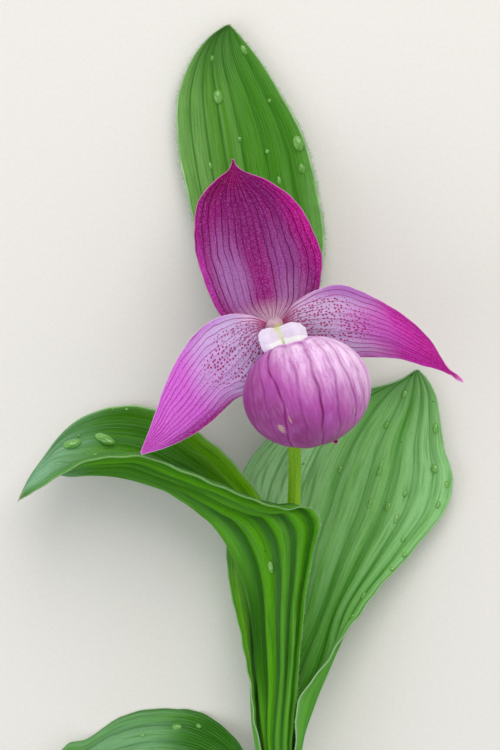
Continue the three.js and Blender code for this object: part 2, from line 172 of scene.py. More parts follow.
class Blade:
    """The middle surface of a leaf or petal on a fine grid, with its measures in millimetres.
    Each row of pleats gives their count, depth and sharpness, and ripple the depth and length
    of the waves along the margins."""

    def __init__(self, stations, rows, columns, thickness, pleats, ripple):
        # Lines are closer at the margins and at the tip, where the blade is thinned.
        margin = np.array([0, 0.002, 0.006])
        end = np.array([0.992, 0.997, 1])
        self.t = np.concatenate([margin, np.linspace(0.013, 0.987, columns), 1 - margin[::-1]])
        lines = np.stack([station(self.t) for station in stations])
        steps = np.concatenate([np.linspace(0, 0.985, rows), end])
        self.u = even_shares(lines[:, len(self.t) // 2], steps)
        self.surface = smooth_curve(lines, self.u)
        self.thickness = thickness
        across = np.gradient(self.surface, axis=1)
        along = np.gradient(self.surface, axis=0)
        self.outward = unit(across)
        self.normal = unit(np.cross(across, along))
        self.width = np.linalg.norm(np.diff(self.surface, axis=1), axis=2).sum(axis=1)[:, None]
        middle = self.surface[:, len(self.t) // 2]
        length = np.cumsum(np.linalg.norm(np.diff(middle, axis=0), axis=1))
        self.along = np.concatenate([[0], length])[:, None] + 0 * self.t
        from_side = np.minimum(self.t, 1 - self.t) * self.width
        self.edge = np.minimum(from_side, np.minimum(self.along, length[-1] - self.along))
        self.share = self.along / length[-1]
        self.surface += self.normal * self.relief(pleats, ripple)[..., None]
        self.surface[..., 2] = np.maximum(self.surface[..., 2], thickness / 2)

    def relief(self, pleats, ripple):
        """Pleats run from base to tip, and the margins wave a little."""
        fade = np.minimum(1, np.minimum(4 * self.share, 5 * (1 - self.share)))
        height = 0 * self.edge
        for count, depth, crease in pleats:
            wave = -np.cos(TURN * count * self.t)
            height += depth / 2 * fade * (wave + crease * np.abs(wave) ** 3 * np.sign(wave))
        height *= 1 - 0.8 * np.exp(-self.edge / 2)
        depth, length = ripple
        side = np.where(self.t < 0.5, 0.0, 2.1)
        wave = np.sin(TURN * self.along / length + side) + 0.6 * np.sin(
            TURN * self.along / (0.37 * length) + 2 * side
        )
        return height + depth * fade * wave * np.exp(-self.edge / 3)

    def measures(self, both):
        """The measures that the finishes read at every point."""
        whole = 0 * self.edge
        place = np.stack([self.t + whole, self.along, self.width + whole], axis=-1).reshape(-1, 3)
        upper = np.stack([self.share, self.edge, whole + 1], axis=-1).reshape(-1, 3)
        lower = upper * [1, 1, 0]
        return {"place": np.concatenate([place, place])[both],
                "spread": np.concatenate([upper, lower])[both]}

    def make(self, name, finish, node, slot):
        """The closed blade: both faces, thinned to a round margin."""
        inset = np.clip(self.edge / self.thickness, 0, 1)
        half = self.thickness / 2 * np.sqrt(1 - (1 - inset) ** 2)
        upper = self.surface + self.normal * half[..., None]
        lower = self.surface - self.normal * half[..., None]
        points = np.concatenate([upper.reshape(-1, 3), lower.reshape(-1, 3)])
        above = np.arange(self.edge.size).reshape(self.edge.shape)
        inside = np.zeros(self.edge.shape, bool)
        inside[1:-1, 1:-1] = True
        below = np.where(inside, above + self.edge.size, above)
        faces = np.concatenate([quads(above), quads(below)[:, ::-1]])
        used, faces = np.unique(faces, return_inverse=True)
        faces = faces.reshape(-1, 4)
        return piece(name, points[used], faces.tolist(), finish, node, slot, self.measures(used))

    def spot(self, share, across, side):
        """The point of a face at a share of the length and of the width, and its directions."""
        i = int(np.abs(self.share[:, 0] - share).argmin())
        j = int(np.abs(self.t - across).argmin())
        i, j = np.clip([i, j], 1, np.array(self.edge.shape) - 2)
        normal = side * self.normal[i, j]
        point = self.surface[i, j] + normal * self.thickness / 2
        return point, normal, unit(self.surface[i + 1, j] - self.surface[i - 1, j])


# ---- hairs and drops -------------------------------------------------------------------------

def hair_mesh(roots, directions, lengths, radius):
    """Fine three-sided hairs that taper to a point and bend a little on the way."""
    count = len(roots)
    side = unit(np.cross(directions, draw.normal(size=(count, 3))))
    other = np.cross(directions, side)
    bend = side * (draw.uniform(-0.25, 0.25, (count, 1)) * lengths[:, None])
    rings = []
    for share, size in ((-0.1, 1.0), (0.55, 0.7)):
        centre = roots + directions * (share * lengths)[:, None] + bend * max(share, 0) ** 2
        for k in range(3):
            angle = TURN * k / 3
            rings.append(centre + radius * size * (math.cos(angle) * side + math.sin(angle) * other))
    ends = roots + directions * lengths[:, None] + bend
    points = np.stack([*rings, ends], axis=1).reshape(-1, 3)
    first = 7 * np.arange(count)[:, None]
    faces = (first + [2, 1, 0]).tolist()
    for k in range(3):
        n = (k + 1) % 3
        faces += (first + [k, n, n + 3, k + 3]).tolist()
        faces += (first + [k + 3, n + 3, 6]).tolist()
    return points, faces


def joined(parts):
    """Several meshes as one."""
    points, faces, first = [], [], 0
    for part_points, part_faces in parts:
        points.append(part_points)
        faces += [[first + corner for corner in face] for face in part_faces]
        first += len(part_points)
    return np.concatenate(points), faces


def at_distances(values, distance, at):
    """Values given at distances along a line, read off at other distances."""
    return np.stack([np.interp(at, distance, values[:, k]) for k in range(3)], axis=-1)


def margin_hairs(blade, per_mm, length, radius, start):
    """Hairs that stand out along both margins of a blade, from a share of its length on."""
    parts = []
    for column, sign in ((0, -1), (-1, 1)):
        line = blade.surface[:, column]
        step = np.linalg.norm(np.diff(line, axis=0), axis=1)
        distance = np.concatenate([[0], np.cumsum(step)])
        whole = distance[-1]
        at = draw.uniform(start * whole, whole, int(per_mm * whole * (1 - start)))
        roots = at_distances(line, distance, at)
        out = at_distances(sign * blade.outward[:, column], distance, at)
        stray = draw.normal(size=out.shape) * 0.35
        lengths = length * draw.uniform(0.5, 1.2, len(at))
        parts.append(hair_mesh(roots, unit(out + stray), lengths, radius))
    return joined(parts)


def drop_mesh(blade, side, share, across, length, width, turn=0):
    """A drop of water that clings to a face of a blade: a low dome, sunk a little into it. It
    lies along the blade, or turned from that by some degrees."""
    rings, sides = 7, 20
    rise = 0.42 * width
    point, normal, along = blade.spot(share, across, side)
    turn = math.radians(turn)
    along = along * math.cos(turn) + np.cross(normal, along) * math.sin(turn)
    over = np.cross(normal, along)
    points = [point + normal * rise]
    for ring in range(1, rings + 1):
        reach = math.sin(ring / rings * math.pi / 2)
        height = rise * math.sqrt(max(1 - reach ** 2, 0)) - 0.03
        for k in range(sides):
            angle = TURN * k / sides
            sag = 1 + 0.16 * math.cos(angle + 2.4) * reach
            offset = reach * sag * (
                length / 2 * math.cos(angle) * along + width / 2 * math.sin(angle) * over
            )
            points.append(point + offset + normal * height)
    points.append(point - normal * 0.05)
    around = [[1 + ring * sides + k for k in range(sides)] for ring in range(rings)]
    faces = []
    for k in range(sides):
        n = (k + 1) % sides
        faces.append([0, around[0][k], around[0][n]])
        faces.append([len(points) - 1, around[-1][n], around[-1][k]])
        for ring in range(rings - 1):
            inner, outer = around[ring], around[ring + 1]
            faces.append([inner[k], outer[k], outer[n], inner[n]])
    return np.array(points), faces


# ---- round parts: stem, ovary and column -----------------------------------------------------

class Rod:
    """A round body along a smooth path, both ends rounded over. Its radius is a function of the
    share along it and of the angle round it."""

    dome_rings = 7

    def __init__(self, path, radius, rows, sides, start_dome, end_dome):
        steps = np.linspace(0, 1, rows)
        shares = even_shares(np.array(path, float), steps)
        centre = smooth_curve(path, shares)
        along = unit(np.gradient(centre, axis=0))
        across = np.array([1.0, 0, 0])
        side = unit(across - (along @ across)[:, None] * along)
        up = np.cross(side, along)
        angle = TURN * np.arange(sides) / sides
        size = radius(steps[:, None], angle[None, :])
        length = np.linalg.norm(np.diff(centre, axis=0), axis=1).sum()
        start, end = [], []
        for k in range(self.dome_rings):
            bend = math.pi / 2 * (k + 1) / (self.dome_rings + 1)
            start.insert(0, (centre[0] - along[0] * start_dome * math.sin(bend), math.cos(bend)))
            end.append((centre[-1] + along[-1] * end_dome * math.sin(bend), math.cos(bend)))

        def ring(i, middle, narrow=1.0):
            spokes = np.cos(angle)[:, None] * side[i] + np.sin(angle)[:, None] * up[i]
            return middle + spokes * size[i][:, None] * narrow

        rings = [ring(0, middle, narrow) for middle, narrow in start]
        rings += [ring(i, centre[i]) for i in range(rows)]
        rings += [ring(-1, middle, narrow) for middle, narrow in end]
        self.rings = np.array(rings)
        self.poles = [centre[0] - along[0] * start_dome, centre[-1] + along[-1] * end_dome]
        self.share = np.concatenate([np.zeros(self.dome_rings), steps, np.ones(self.dome_rings)])
        self.length = length
        self.angle = angle

    def make(self, name, finish, node, slot):
        """The closed rod, with the measures of a blade as wide as the way round it."""
        count, sides = self.rings.shape[:2]
        index = np.arange(count * sides).reshape(count, sides)
        faces = quads(ringed(index))[:, ::-1].tolist()
        first, last = count * sides, count * sides + 1
        for k in range(sides):
            n = (k + 1) % sides
            faces.append([first, int(index[0, k]), int(index[0, n])])
            faces.append([last, int(index[-1, n]), int(index[-1, k])])
        points = np.concatenate([self.rings.reshape(-1, 3), self.poles])
        share = np.repeat(self.share, sides)
        turn = np.tile(self.angle / TURN, count)
        # The way round is that of a rod of 2 mm radius. No point is near an edge or on a lower side.
        place = np.stack([turn, share * self.length, 0 * share + TURN * 2], axis=-1)
        spread = np.stack([share, 0 * share + 2, 0 * share + 1], axis=-1)
        ends = np.array([[0, 0, 1], [0, self.length, 1]])
        measures = {"place": np.concatenate([place, ends]),
                    "spread": np.concatenate([spread, [[0, 2, 1], [1, 2, 1]]])}
        return piece(name, points, faces, finish, node, slot, measures)

    def down(self, count, length, radius):
        """Fine hairs all over the sides of the rod, which lean towards its end."""
        rows, sides = self.rings.shape[:2]
        i = draw.integers(self.dome_rings, rows - self.dome_rings - 1, count)
        j = draw.integers(0, sides, count)
        step = self.rings[i + 1, j] - self.rings[i, j]
        roots = self.rings[i, j] + step * draw.uniform(0, 1, (count, 1))
        middle = self.rings.mean(axis=1)
        out = unit(roots - middle[i])
        along = unit(middle[i + 1] - middle[i])
        directions = unit(out + 0.5 * along + 0.35 * draw.normal(size=out.shape))
        return hair_mesh(roots, directions, length * draw.uniform(0.5, 1.3, count), radius)


# ---- finishes --------------------------------------------------------------------------------

def linear(code):
    """A colour given as sRGB hex, in linear light."""
    shares = [int(code[k:k + 2], 16) / 255 for k in (1, 3, 5)]
    return (*[s / 12.92 if s <= 0.04045 else ((s + 0.055) / 1.055) ** 2.4 for s in shares], 1.0)


def add(tree, kind, sockets, **settings):
    """Adds a shader node with its settings. Each socket gets a value, a node or a node's output."""
    made = tree.nodes.new("ShaderNode" + kind)
    for name, value in settings.items():
        setattr(made, name, value)
    for key, value in sockets.items():
        if isinstance(value, bpy.types.Node):
            value = value.outputs[0]
        if isinstance(value, bpy.types.NodeSocket):
            tree.links.new(value, made.inputs[key])
        else:
            made.inputs[key].default_value = value
    return made


def begin_finish(name, **same_all_over):
    """A new material, its tree and its surface, with the values that are the same all over."""
    material = bpy.data.materials.new(name)
    material.use_nodes = True
    surface = material.node_tree.nodes["Principled BSDF"]
    for socket, value in same_all_over.items():
        surface.inputs[socket.replace("_", " ")].default_value = value
    return material, material.node_tree, surface


def read_measures(tree):
    """The measures of a piece at each point: the shares across and along it, the millimetres
    along it and from its edge, its width there, and its face, 1 on the upper side."""
    named = {"place": ("across", "along", "width"), "spread": ("share", "edge", "face")}
    read = {}
    for label, names in named.items():
        vector = add(tree, "Attribute", {}, attribute_name=label).outputs["Vector"]
        read.update(zip(names, add(tree, "SeparateXYZ", {0: vector}).outputs))
    return read


def between(tree, value, start, end, low=0.0, high=1.0):
    """A soft mask that goes from low to high as a measure goes from start to end."""
    return add(tree, "MapRange", {0: value, 1: start, 2: end, 3: low, 4: high},
               interpolation_type="SMOOTHSTEP")


def both(tree, first, second):
    """The product of two values or masks."""
    return add(tree, "Math", {0: first, 1: second}, operation="MULTIPLY")


def streaks(tree, read, count, length, seed, detail=3.0):
    """Noise drawn out along the blade, count streaks wide and about length mm long."""
    across = both(tree, read["across"], float(count))
    along = add(tree, "Math", {0: read["along"], 1: float(length)}, operation="DIVIDE")
    vector = add(tree, "CombineXYZ", {0: across, 1: along, 2: seed})
    return add(tree, "TexNoise", {"Vector": vector, "Scale": 1.0, "Detail": detail})


def grain(tree, size, detail=2.0):
    """Even mottling in spots of about size mm."""
    spot = add(tree, "TexCoord", {}).outputs["Object"]
    return add(tree, "TexNoise", {"Vector": spot, "Scale": 1 / (size * MM), "Detail": detail})


def off_lane(tree, read, count, wander, seed):
    """How far a point is from the nearest of count lines from base to tip, in line spacings."""
    drift = streaks(tree, read, 3, 9, seed, 2.0)
    drift = add(tree, "Math", {0: drift, 1: 2 * wander, 2: -wander}, operation="MULTIPLY_ADD")
    lane = add(tree, "Math", {0: read["across"], 1: float(count), 2: drift}, operation="MULTIPLY_ADD")
    return add(tree, "Math", {0: lane, 1: 0.5}, operation="PINGPONG")


def vein_lines(tree, read, count, line, wander, seed=3.0):
    """A mask of count veins from base to tip, each about line mm wide, that wander a little."""
    spacing = add(tree, "Math", {0: read["width"], 1: float(count)}, operation="DIVIDE")
    gap = both(tree, off_lane(tree, read, count, wander, seed), spacing)
    limit = add(tree, "Math", {0: both(tree, spacing, 0.3), 1: line}, operation="MINIMUM")
    near = add(tree, "Math", {0: gap, 1: limit}, operation="DIVIDE")
    return between(tree, near, 0.2, 1.0, 1.0, 0.0)


def oval(tree, first, second, centre, reach):
    """The distance from the middle of an oval area, 1 at its rim."""
    x = add(tree, "Math", {0: first, 1: reach[0]}, operation="DIVIDE")
    y = add(tree, "Math", {0: second, 1: reach[1]}, operation="DIVIDE")
    here = add(tree, "CombineXYZ", {0: x, 1: y})
    middle = (centre[0] / reach[0], centre[1] / reach[1], 0)
    return add(tree, "VectorMath", {0: here, 1: middle}, operation="DISTANCE").outputs["Value"]


def areas(tree, read, rows):
    """Layers for soft areas of a blade. Each row gives the share and the place across of its
    middle, its reach along and across, its strength and its colour."""
    layers = []
    for share, across, along_reach, across_reach, strength, tint in rows:
        away = oval(tree, read["share"], read["across"], (share, across), (along_reach, across_reach))
        layers.append((between(tree, away, 1.0, 0.15, 0.0, strength), tint))
    return layers


def layered(tree, base, *layers):
    """A base colour with others laid over it in turn, each where its mask is 1."""
    colour = linear(base)
    for mask, tint in layers:
        colour = add(tree, "MixRGB", {0: mask, 1: colour, 2: linear(tint)})
    return colour


def dress(tree, surface, colour, height=None, depth=0.0, roughness=None):
    """Joins a finish's colour, its relief, depth mm deep, and its roughness to its surface."""
    tree.links.new(colour.outputs[0], surface.inputs["Base Color"])
    if height is not None:
        bump = add(tree, "Bump", {"Height": height, "Strength": 1.0, "Distance": depth * MM})
        tree.links.new(bump.outputs[0], surface.inputs["Normal"])
    if roughness is not None:
        tree.links.new(roughness.outputs[0], surface.inputs["Roughness"])


def leaf_finish(
    name, valley, painted_crest_light, rise, pleats, groove, haze, haze_amount, gloss, pale_rim, patches
):
    """Living leaf blade, cuticle over green tissue: pleats whose ridges are painted lighter, as
    painted light, and whose valleys and valley lines are painted darker, as painted shade; parallel
    veins, a waxy haze in long bands, and a satin shine that its fine ribs break up. The painted
    ridge light sets in over the two distances of rise from the nearest pleat line, in pleat spacings."""
    material, tree, surface = begin_finish(
        name, IOR=1.42, Specular_IOR_Level=0.13,
        Subsurface_Weight=0.2, Subsurface_Scale=0.001, Subsurface_Radius=(0.6, 1.0, 0.2),
    )
    read = read_measures(tree)
    bands = streaks(tree, read, pleats * 2, 90, 1.0, 2.0)
    fibre = streaks(tree, read, pleats * 9, 14, 2.0)
    # Painted light and shade of the pleats: their ridges lighter, their valley lines darker.
    painted_crest_light_mask = between(tree, off_lane(tree, read, pleats, 0.05, 3.0), *rise)
    painted_groove_shade = vein_lines(tree, read, pleats, 0.45, 0.05)
    hairlines = vein_lines(tree, read, pleats * 6, 0.13, 0.3, 5.0)
    broken = both(tree, hairlines, between(tree, fibre, 0.35, 0.6))
    broken = both(tree, broken, between(tree, read["face"], 0.0, 1.0, 0.12, 0.48))
    mottle = grain(tree, 0.5)
    specks = grain(tree, 1.5, 0.0)
    colour = layered(
        tree, valley,
        (painted_crest_light_mask, painted_crest_light),
        (between(tree, bands, 0.4, 0.62, 0.0, haze_amount), haze),
        *areas(tree, read, patches),
        (between(tree, fibre, 0.45, 0.7, 0.0, 0.5), valley),
        (between(tree, painted_groove_shade, 0.0, 1.0, 0.0, groove), valley),
        (broken, haze),
        (between(tree, mottle, 0.5, 0.8, 0.0, 0.2), valley),
        (between(tree, specks, 0.86, 0.89, 0.0, 0.6), "#2b2a12"),
        (between(tree, read["edge"], 0.1, 0.36, pale_rim, 0.0), "#bcd6b2"),
    )
    height = add(tree, "Math", {0: fibre, 1: 0.7, 2: hairlines}, operation="MULTIPLY_ADD")
    rough = between(tree, mottle, 0.3, 0.75, gloss, gloss + 0.18)
    dress(tree, surface, colour, height, 0.06, rough)
    return material


def sepal_finish():
    """Velvety petal tissue of the sepals: mauve, mottled cell by cell, with dark veins that fan
    out of a pale base, a vivid right margin and a dark tip."""
    material, tree, surface = begin_finish(
        "velvety_mauve_sepal", IOR=1.4, Specular_IOR_Level=0.1,
        Subsurface_Weight=0.15, Subsurface_Scale=0.0008, Subsurface_Radius=(1.0, 0.3, 0.8),
        Sheen_Weight=0.02, Sheen_Roughness=0.4,
    )
    read = read_measures(tree)
    cells = grain(tree, 0.42)
    bands = streaks(tree, read, 16, 45, 1.0, 2.0)
    fibre = streaks(tree, read, 70, 6, 2.0)
    veins = vein_lines(tree, read, 17, 0.31, 0.55)
    veins = both(tree, veins, between(tree, streaks(tree, read, 17, 30, 8.0), 0.36, 0.56, 0.28, 1.0))
    between_veins = vein_lines(tree, read, 37, 0.16, 0.8, 6.0)
    between_veins = both(tree, between_veins, between(tree, fibre, 0.4, 0.6))
    margin = add(tree, "Math", {0: fibre, 1: -3.0, 2: read["edge"]}, operation="MULTIPLY_ADD")
    colour = layered(
        tree, "#901476",
        (between(tree, bands, 0.42, 0.62, 0.0, 0.5), "#a00c7c"),
        *areas(tree, read, [
            (0.34, 0.24, 0.36, 0.22, 0.8, "#a86cb4"),
            (0.36, 0.7, 0.34, 0.22, 0.6, "#9a5aa2"),
            (0.62, 0.45, 0.32, 0.34, 0.45, "#781e6c"),
            (0.6, 1.0, 0.42, 0.24, 1.0, "#c2008c"),
            (0.3, 0.0, 0.32, 0.1, 0.7, "#bf3ab0"),
            (1.0, 0.4, 0.3, 0.6, 1.0, "#a4046a"),
            (0.9, 0.12, 0.3, 0.2, 0.8, "#8a004c"),
            (0.22, 0.24, 0.24, 0.24, 0.5, "#b084c0"),
            (0.14, 0.74, 0.2, 0.26, 0.4, "#b692c2"),
            (0.0, 0.5, 0.17, 0.7, 0.95, "#d3b0c4"),
        ]),
        (between(tree, cells, 0.46, 0.66, 0.0, 0.28), "#b07cbc"),
        (between(tree, cells, 0.5, 0.32, 0.0, 0.34), "#600848"),
        (between(tree, margin, -0.6, -1.6, 0.0, 0.6), "#a4057a"),
        (between(tree, between_veins, 0.0, 1.0, 0.0, 0.5), "#7c1560"),
        (both(tree, veins, between(tree, read["share"], 0.0, 0.2, 0.6, 0.95)), "#620640"),
        (between(tree, read["edge"], 0.08, 0.24, 0.5, 0.0), "#e79fd4"),
    )
    height = add(tree, "Math", {0: cells, 1: 0.5, 2: fibre}, operation="MULTIPLY_ADD")
    rough = between(tree, bands, 0.3, 0.7, 0.46, 0.6)
    dress(tree, surface, colour, height, 0.05, rough)
    return material


def petal_finish(name, ground, far, sparkle, vein, patches):
    """Thin petal tissue with fine darker veins. Its greyish base half, of the ground colour, has
    small crimson spots in rows along the veins, and its far half glitters cell by cell."""
    material, tree, surface = begin_finish(
        name, IOR=1.4, Specular_IOR_Level=0.15,
        Subsurface_Weight=0.2, Subsurface_Scale=0.0008, Subsurface_Radius=(1.0, 0.35, 0.9),
        Sheen_Weight=0.03, Sheen_Roughness=0.4,
    )
    read = read_measures(tree)
    cells = grain(tree, 0.4)
    clouds = grain(tree, 4.0)
    fibre = streaks(tree, read, 50, 6, 2.0)
    outer = between(tree, read["share"], 0.36, 0.62)
    inner_middle = oval(tree, read["share"], read["across"], (0.18, 0.52), (0.38, 0.46))
    inner_middle = between(tree, inner_middle, 1.0, 0.6)
    veins = vein_lines(tree, read, 13, 0.26, 0.65)
    veins = both(tree, veins, between(tree, fibre, 0.3, 0.5, 0.35, 1.0))
    veins = both(tree, veins, between(tree, inner_middle, 0.0, 1.0, 1.0, 0.6))
    # Spots are about 0.4 by 0.5 mm, one to every 1 by 1.2 mm.
    lane = both(tree, read["across"], 21.0)
    beat = add(tree, "Math", {0: read["along"], 1: 1.2}, operation="DIVIDE")
    spot_place = add(tree, "CombineXYZ", {0: lane, 1: beat})
    spots = add(tree, "TexVoronoi", {"Vector": spot_place, "Scale": 1.0, "Randomness": 0.72},
                voronoi_dimensions="2D")
    size = both(tree, between(tree, clouds, 0.3, 0.55, 0.09, 0.26), inner_middle)
    near_base = between(tree, read["share"], 0.3, 0.06)
    rim = add(tree, "Math", {0: spots, 1: size}, operation="SUBTRACT")
    colour = layered(
        tree, ground,
        (outer, far),
        *areas(tree, read, patches),
        (between(tree, cells, 0.48, 0.68, 0.0, 0.3), sparkle),
        (between(tree, cells, 0.46, 0.3, 0.0, 0.2), vein),
        (between(tree, veins, 0.0, 1.0, 0.0, 0.75), vein),
        (both(tree, veins, near_base), "#a8185c"),
        (between(tree, rim, 0.12, 0.0, 0.0, 0.5), "#c04a92"),
        (between(tree, rim, 0.03, -0.07, 0.0, 0.95), "#8c0f50"),
        (between(tree, read["share"], 0.1, 0.0, 0.0, 0.85), "#a0205c"),
        (between(tree, read["edge"], 0.1, 0.32, 0.65, 0.0), "#f0c4ec"),
    )
    height = add(tree, "Math", {0: cells, 1: 0.5, 2: fibre}, operation="MULTIPLY_ADD")
    dress(tree, surface, colour, height, 0.04)
    return material


def pouch_finish():
    """Waxy inflated lip: almost white pink above, magenta below, partly its own colour and partly
    painted shade towards the bottom and the left, with thin dark veins, a fine broken net between them,
    a band of painted shade below the rolled rim, and three old scratches gone corky."""
    material, tree, surface = begin_finish(
        "waxy_pink_pouch", IOR=1.42, Specular_IOR_Level=0.4,
        Subsurface_Weight=0.25, Subsurface_Scale=0.0012, Subsurface_Radius=(1.0, 0.4, 0.9),
        Coat_Weight=0.06, Coat_Roughness=0.4,
    )
    read = read_measures(tree)
    strokes = streaks(tree, read, 170, 4, 5.0, 2.0)
    clouds = grain(tree, 5.0)
    cells = grain(tree, 0.5)
    drawn = streaks(tree, read, 90, 9, 1.0)
    net_place = add(tree, "CombineXYZ", {
        0: both(tree, read["across"], 95.0),
        1: add(tree, "Math", {0: read["along"], 1: 3.4}, operation="DIVIDE"),
    })
    warp = add(tree, "TexNoise", {"Vector": net_place, "Scale": 1.2, "Detail": 2.0})
    net_place = add(tree, "VectorMath", {0: net_place, 1: warp.outputs["Color"]}, operation="ADD")
    net = add(tree, "TexVoronoi", {"Vector": net_place, "Scale": 1.0}, feature="DISTANCE_TO_EDGE")
    net = both(tree, between(tree, net, 0.0, 0.09, 1.0, 0.0), between(tree, clouds, 0.35, 0.6))
    # Its own colour and painted shade: the share measure darkens the lip towards the bottom and the
    # left.
    pigment_and_shade = add(tree, "Math", {0: drawn, 1: 0.36, 2: read["share"]}, operation="MULTIPLY_ADD")
    # The strength of the nearest vein comes in the place of a blade's width, and the distance
    # to it in the place of the distance from the edge.
    strong = read["width"]
    line = between(tree, read["edge"], 0.42, 0.08)
    halo = between(tree, read["edge"], 1.5, 0.2)
    patchy = between(tree, drawn, 0.36, 0.56, 0.55, 1.0)
    ragged = add(tree, "Math", {0: cells, 1: 1.6, 2: -0.8}, operation="MULTIPLY_ADD")
    # Each scar's turn and fall in degrees, and its reach in hundredths of a turn and in mm.
    scar_places = [(335, 108.5, 0.8, 1.5), (344, 103.5, 0.25, 1.1), (30.5, 111, 0.22, 1.2)]
    scars = []
    for turn, fall, wide, high in scar_places:
        centre = (turn / 360, POUCH_SPOKE * math.radians(fall))
        away = oval(tree, read["across"], read["along"], centre, (wide / 100, high))
        away = add(tree, "Math", {0: away, 1: ragged}, operation="ADD")
        scars.append((between(tree, away, 1.0, 0.5, 0.0, 0.75), "#c0ab98"))
    lower = between(tree, pigment_and_shade, 0.7, 1.3, 0.5, 1.0)
    # Painted shade in a band below the rolled rim, whose distance in millimetres comes in the place of
    # a blade's face
    painted_rim_shade = both(tree, between(tree, read["face"], 0.1, 0.7), between(tree, read["face"], 2.4, 0.9))
    colour = layered(
        tree, "#fcdcff",
        (between(tree, pigment_and_shade, 0.72, 1.34, 0.0, 1.0), "#b550aa"),
        (between(tree, pigment_and_shade, 1.22, 1.62, 0.0, 0.95), "#8c2c78"),
        (between(tree, clouds, 0.4, 0.7, 0.0, 0.22), "#c87ad2"),
        (both(tree, halo, both(tree, strong, 0.4)), "#ac44a6"),
        (both(tree, net, 0.32), "#9a3c98"),
        (between(tree, strokes, 0.5, 0.64, 0.0, 0.32), "#a23c9c"),
        (between(tree, strokes, 0.48, 0.3, 0.0, 0.12), "#e6b2f0"),
        (both(tree, painted_rim_shade, between(tree, clouds, 0.3, 0.6, 0.35, 0.8)), "#b042b0"),
        (both(tree, both(tree, line, lower), both(tree, strong, patchy)), "#7c1266"),
        *scars,
    )
    height = add(tree, "Math", {0: cells, 1: 0.6, 2: clouds}, operation="MULTIPLY_ADD")
    rough = between(tree, clouds, 0.3, 0.7, 0.4, 0.52)
    dress(tree, surface, colour, height, 0.05, rough)
    return material


def staminode_finish():
    """Thick porcelain-like tissue of the shield over the mouth: white with a faint lilac cast,
    a yellow-green groove down its middle, and a painted highlight, a near-white band along its lower
    part."""
    material, tree, surface = begin_finish(
        "porcelain_white_shield", IOR=1.42, Specular_IOR_Level=0.4,
        Subsurface_Weight=0.3, Subsurface_Scale=0.0012, Subsurface_Radius=(1.0, 0.9, 0.9),
    )
    read = read_measures(tree)
    cells = grain(tree, 0.35)
    clouds = grain(tree, 2.4)
    # Painted highlight: a near-white band along the lower part, where the shield curves towards the
    # light.
    lower = add(tree, "Math", {0: cells, 1: 0.14, 2: read["share"]}, operation="MULTIPLY_ADD")
    lower = both(tree, between(tree, lower, 0.58, 0.63), between(tree, read["across"], 0.1, 0.34))
    groove = [
        (0.0, 0.47, 0.34, 0.15, 0.8, "#c6d270"),
        (0.35, 0.49, 0.55, 0.11, 0.6, "#ccd69c"),
        (0.75, 0.5, 0.42, 0.05, 0.8, "#b0b46c"),
        (0.93, 0.5, 0.14, 0.035, 0.9, "#86683c"),
    ]
    colour = layered(
        tree, "#e8dcf3",
        (between(tree, clouds, 0.4, 0.7, 0.0, 0.5), "#dccbe8"),
        (between(tree, cells, 0.5, 0.8, 0.0, 0.4), "#f7effb"),
        (lower, "#fcfaff"),
        *areas(tree, read, groove),
        (between(tree, read["edge"], 0.6, 0.1, 0.0, 0.6), "#fbf4fb"),
    )
    dress(tree, surface, colour, cells, 0.05)
    return material


def column_finish():
    """Soft fleshy column: greyish mauve with a yellow-green cheek where the shield joins it."""
    material, tree, surface = begin_finish(
        "fleshy_mauve_column", IOR=1.4, Roughness=0.5,
        Subsurface_Weight=0.3, Subsurface_Scale=0.0012, Subsurface_Radius=(1.0, 0.6, 0.6),
    )
    clouds = grain(tree, 1.6)
    cells = grain(tree, 0.3)
    spot = add(tree, "TexCoord", {}).outputs["Object"]
    centre = tuple(MM * size for size in COLUMN_CHEEK)
    cheek = add(tree, "VectorMath", {0: spot, 1: centre}, operation="DISTANCE")
    colour = layered(
        tree, "#c3a0b2",
        (between(tree, clouds, 0.4, 0.7, 0.0, 0.6), "#a98598"),
        (between(tree, cheek.outputs["Value"], 1.9 * MM, 0.4 * MM, 0.0, 0.9), "#c0c95e"),
        (between(tree, cells, 0.5, 0.8, 0.0, 0.4), "#dcc6d2"),
    )
    dress(tree, surface, colour, cells, 0.04)
    return material


def stalk_finish():
    """Juicy green stalk: yellow-green with darker lengthwise lines under a fine down."""
    material, tree, surface = begin_finish(
        "downy_green_stalk", IOR=1.42, Specular_IOR_Level=0.4,
        Subsurface_Weight=0.2, Subsurface_Scale=0.001, Subsurface_Radius=(0.7, 1.0, 0.2),
    )
    read = read_measures(tree)
    lines = streaks(tree, read, 24, 25, 1.0)
    mottle = grain(tree, 0.6)
    colour = layered(
        tree, "#90d004",
        (between(tree, lines, 0.42, 0.68, 0.0, 0.6), "#6cae04"),
        (between(tree, mottle, 0.45, 0.75, 0.0, 0.4), "#b4d95a"),
    )
    dress(tree, surface, colour, lines, 0.08, between(tree, mottle, 0.3, 0.7, 0.4, 0.58))
    return material


def hair_finish(name, root, end):
    """Fine dry plant hair, almost clear, that catches the light."""
    material, tree, surface = begin_finish(name, IOR=1.5, Roughness=0.35, Alpha=0.7)
    colour = layered(tree, root, (between(tree, grain(tree, 1.2), 0.4, 0.6), end))
    dress(tree, surface, colour)
    return material


def water_finish():
    """Rain water in low drops: the leaf shows through it, and its clearer green is painted light,
    standing for the leaf seen through the water; its skin mirrors the light."""
    material, tree, surface = begin_finish(
        "rain_water", IOR=1.333, Roughness=0.02, Alpha=0.6, Specular_IOR_Level=1.0,
        Coat_Weight=1.0, Coat_Roughness=0.01, Coat_IOR=1.7,
    )
    clouds = grain(tree, 2.5)
    # Painted light: the green colour stands for the leaf seen through the clear water.
    colour = layered(tree, "#6cbc34", (between(tree, clouds, 0.4, 0.7, 0.0, 0.6), "#a2d480"))
    dress(tree, surface, colour)
    return material


# ---- the flower ------------------------------------------------------------------------------

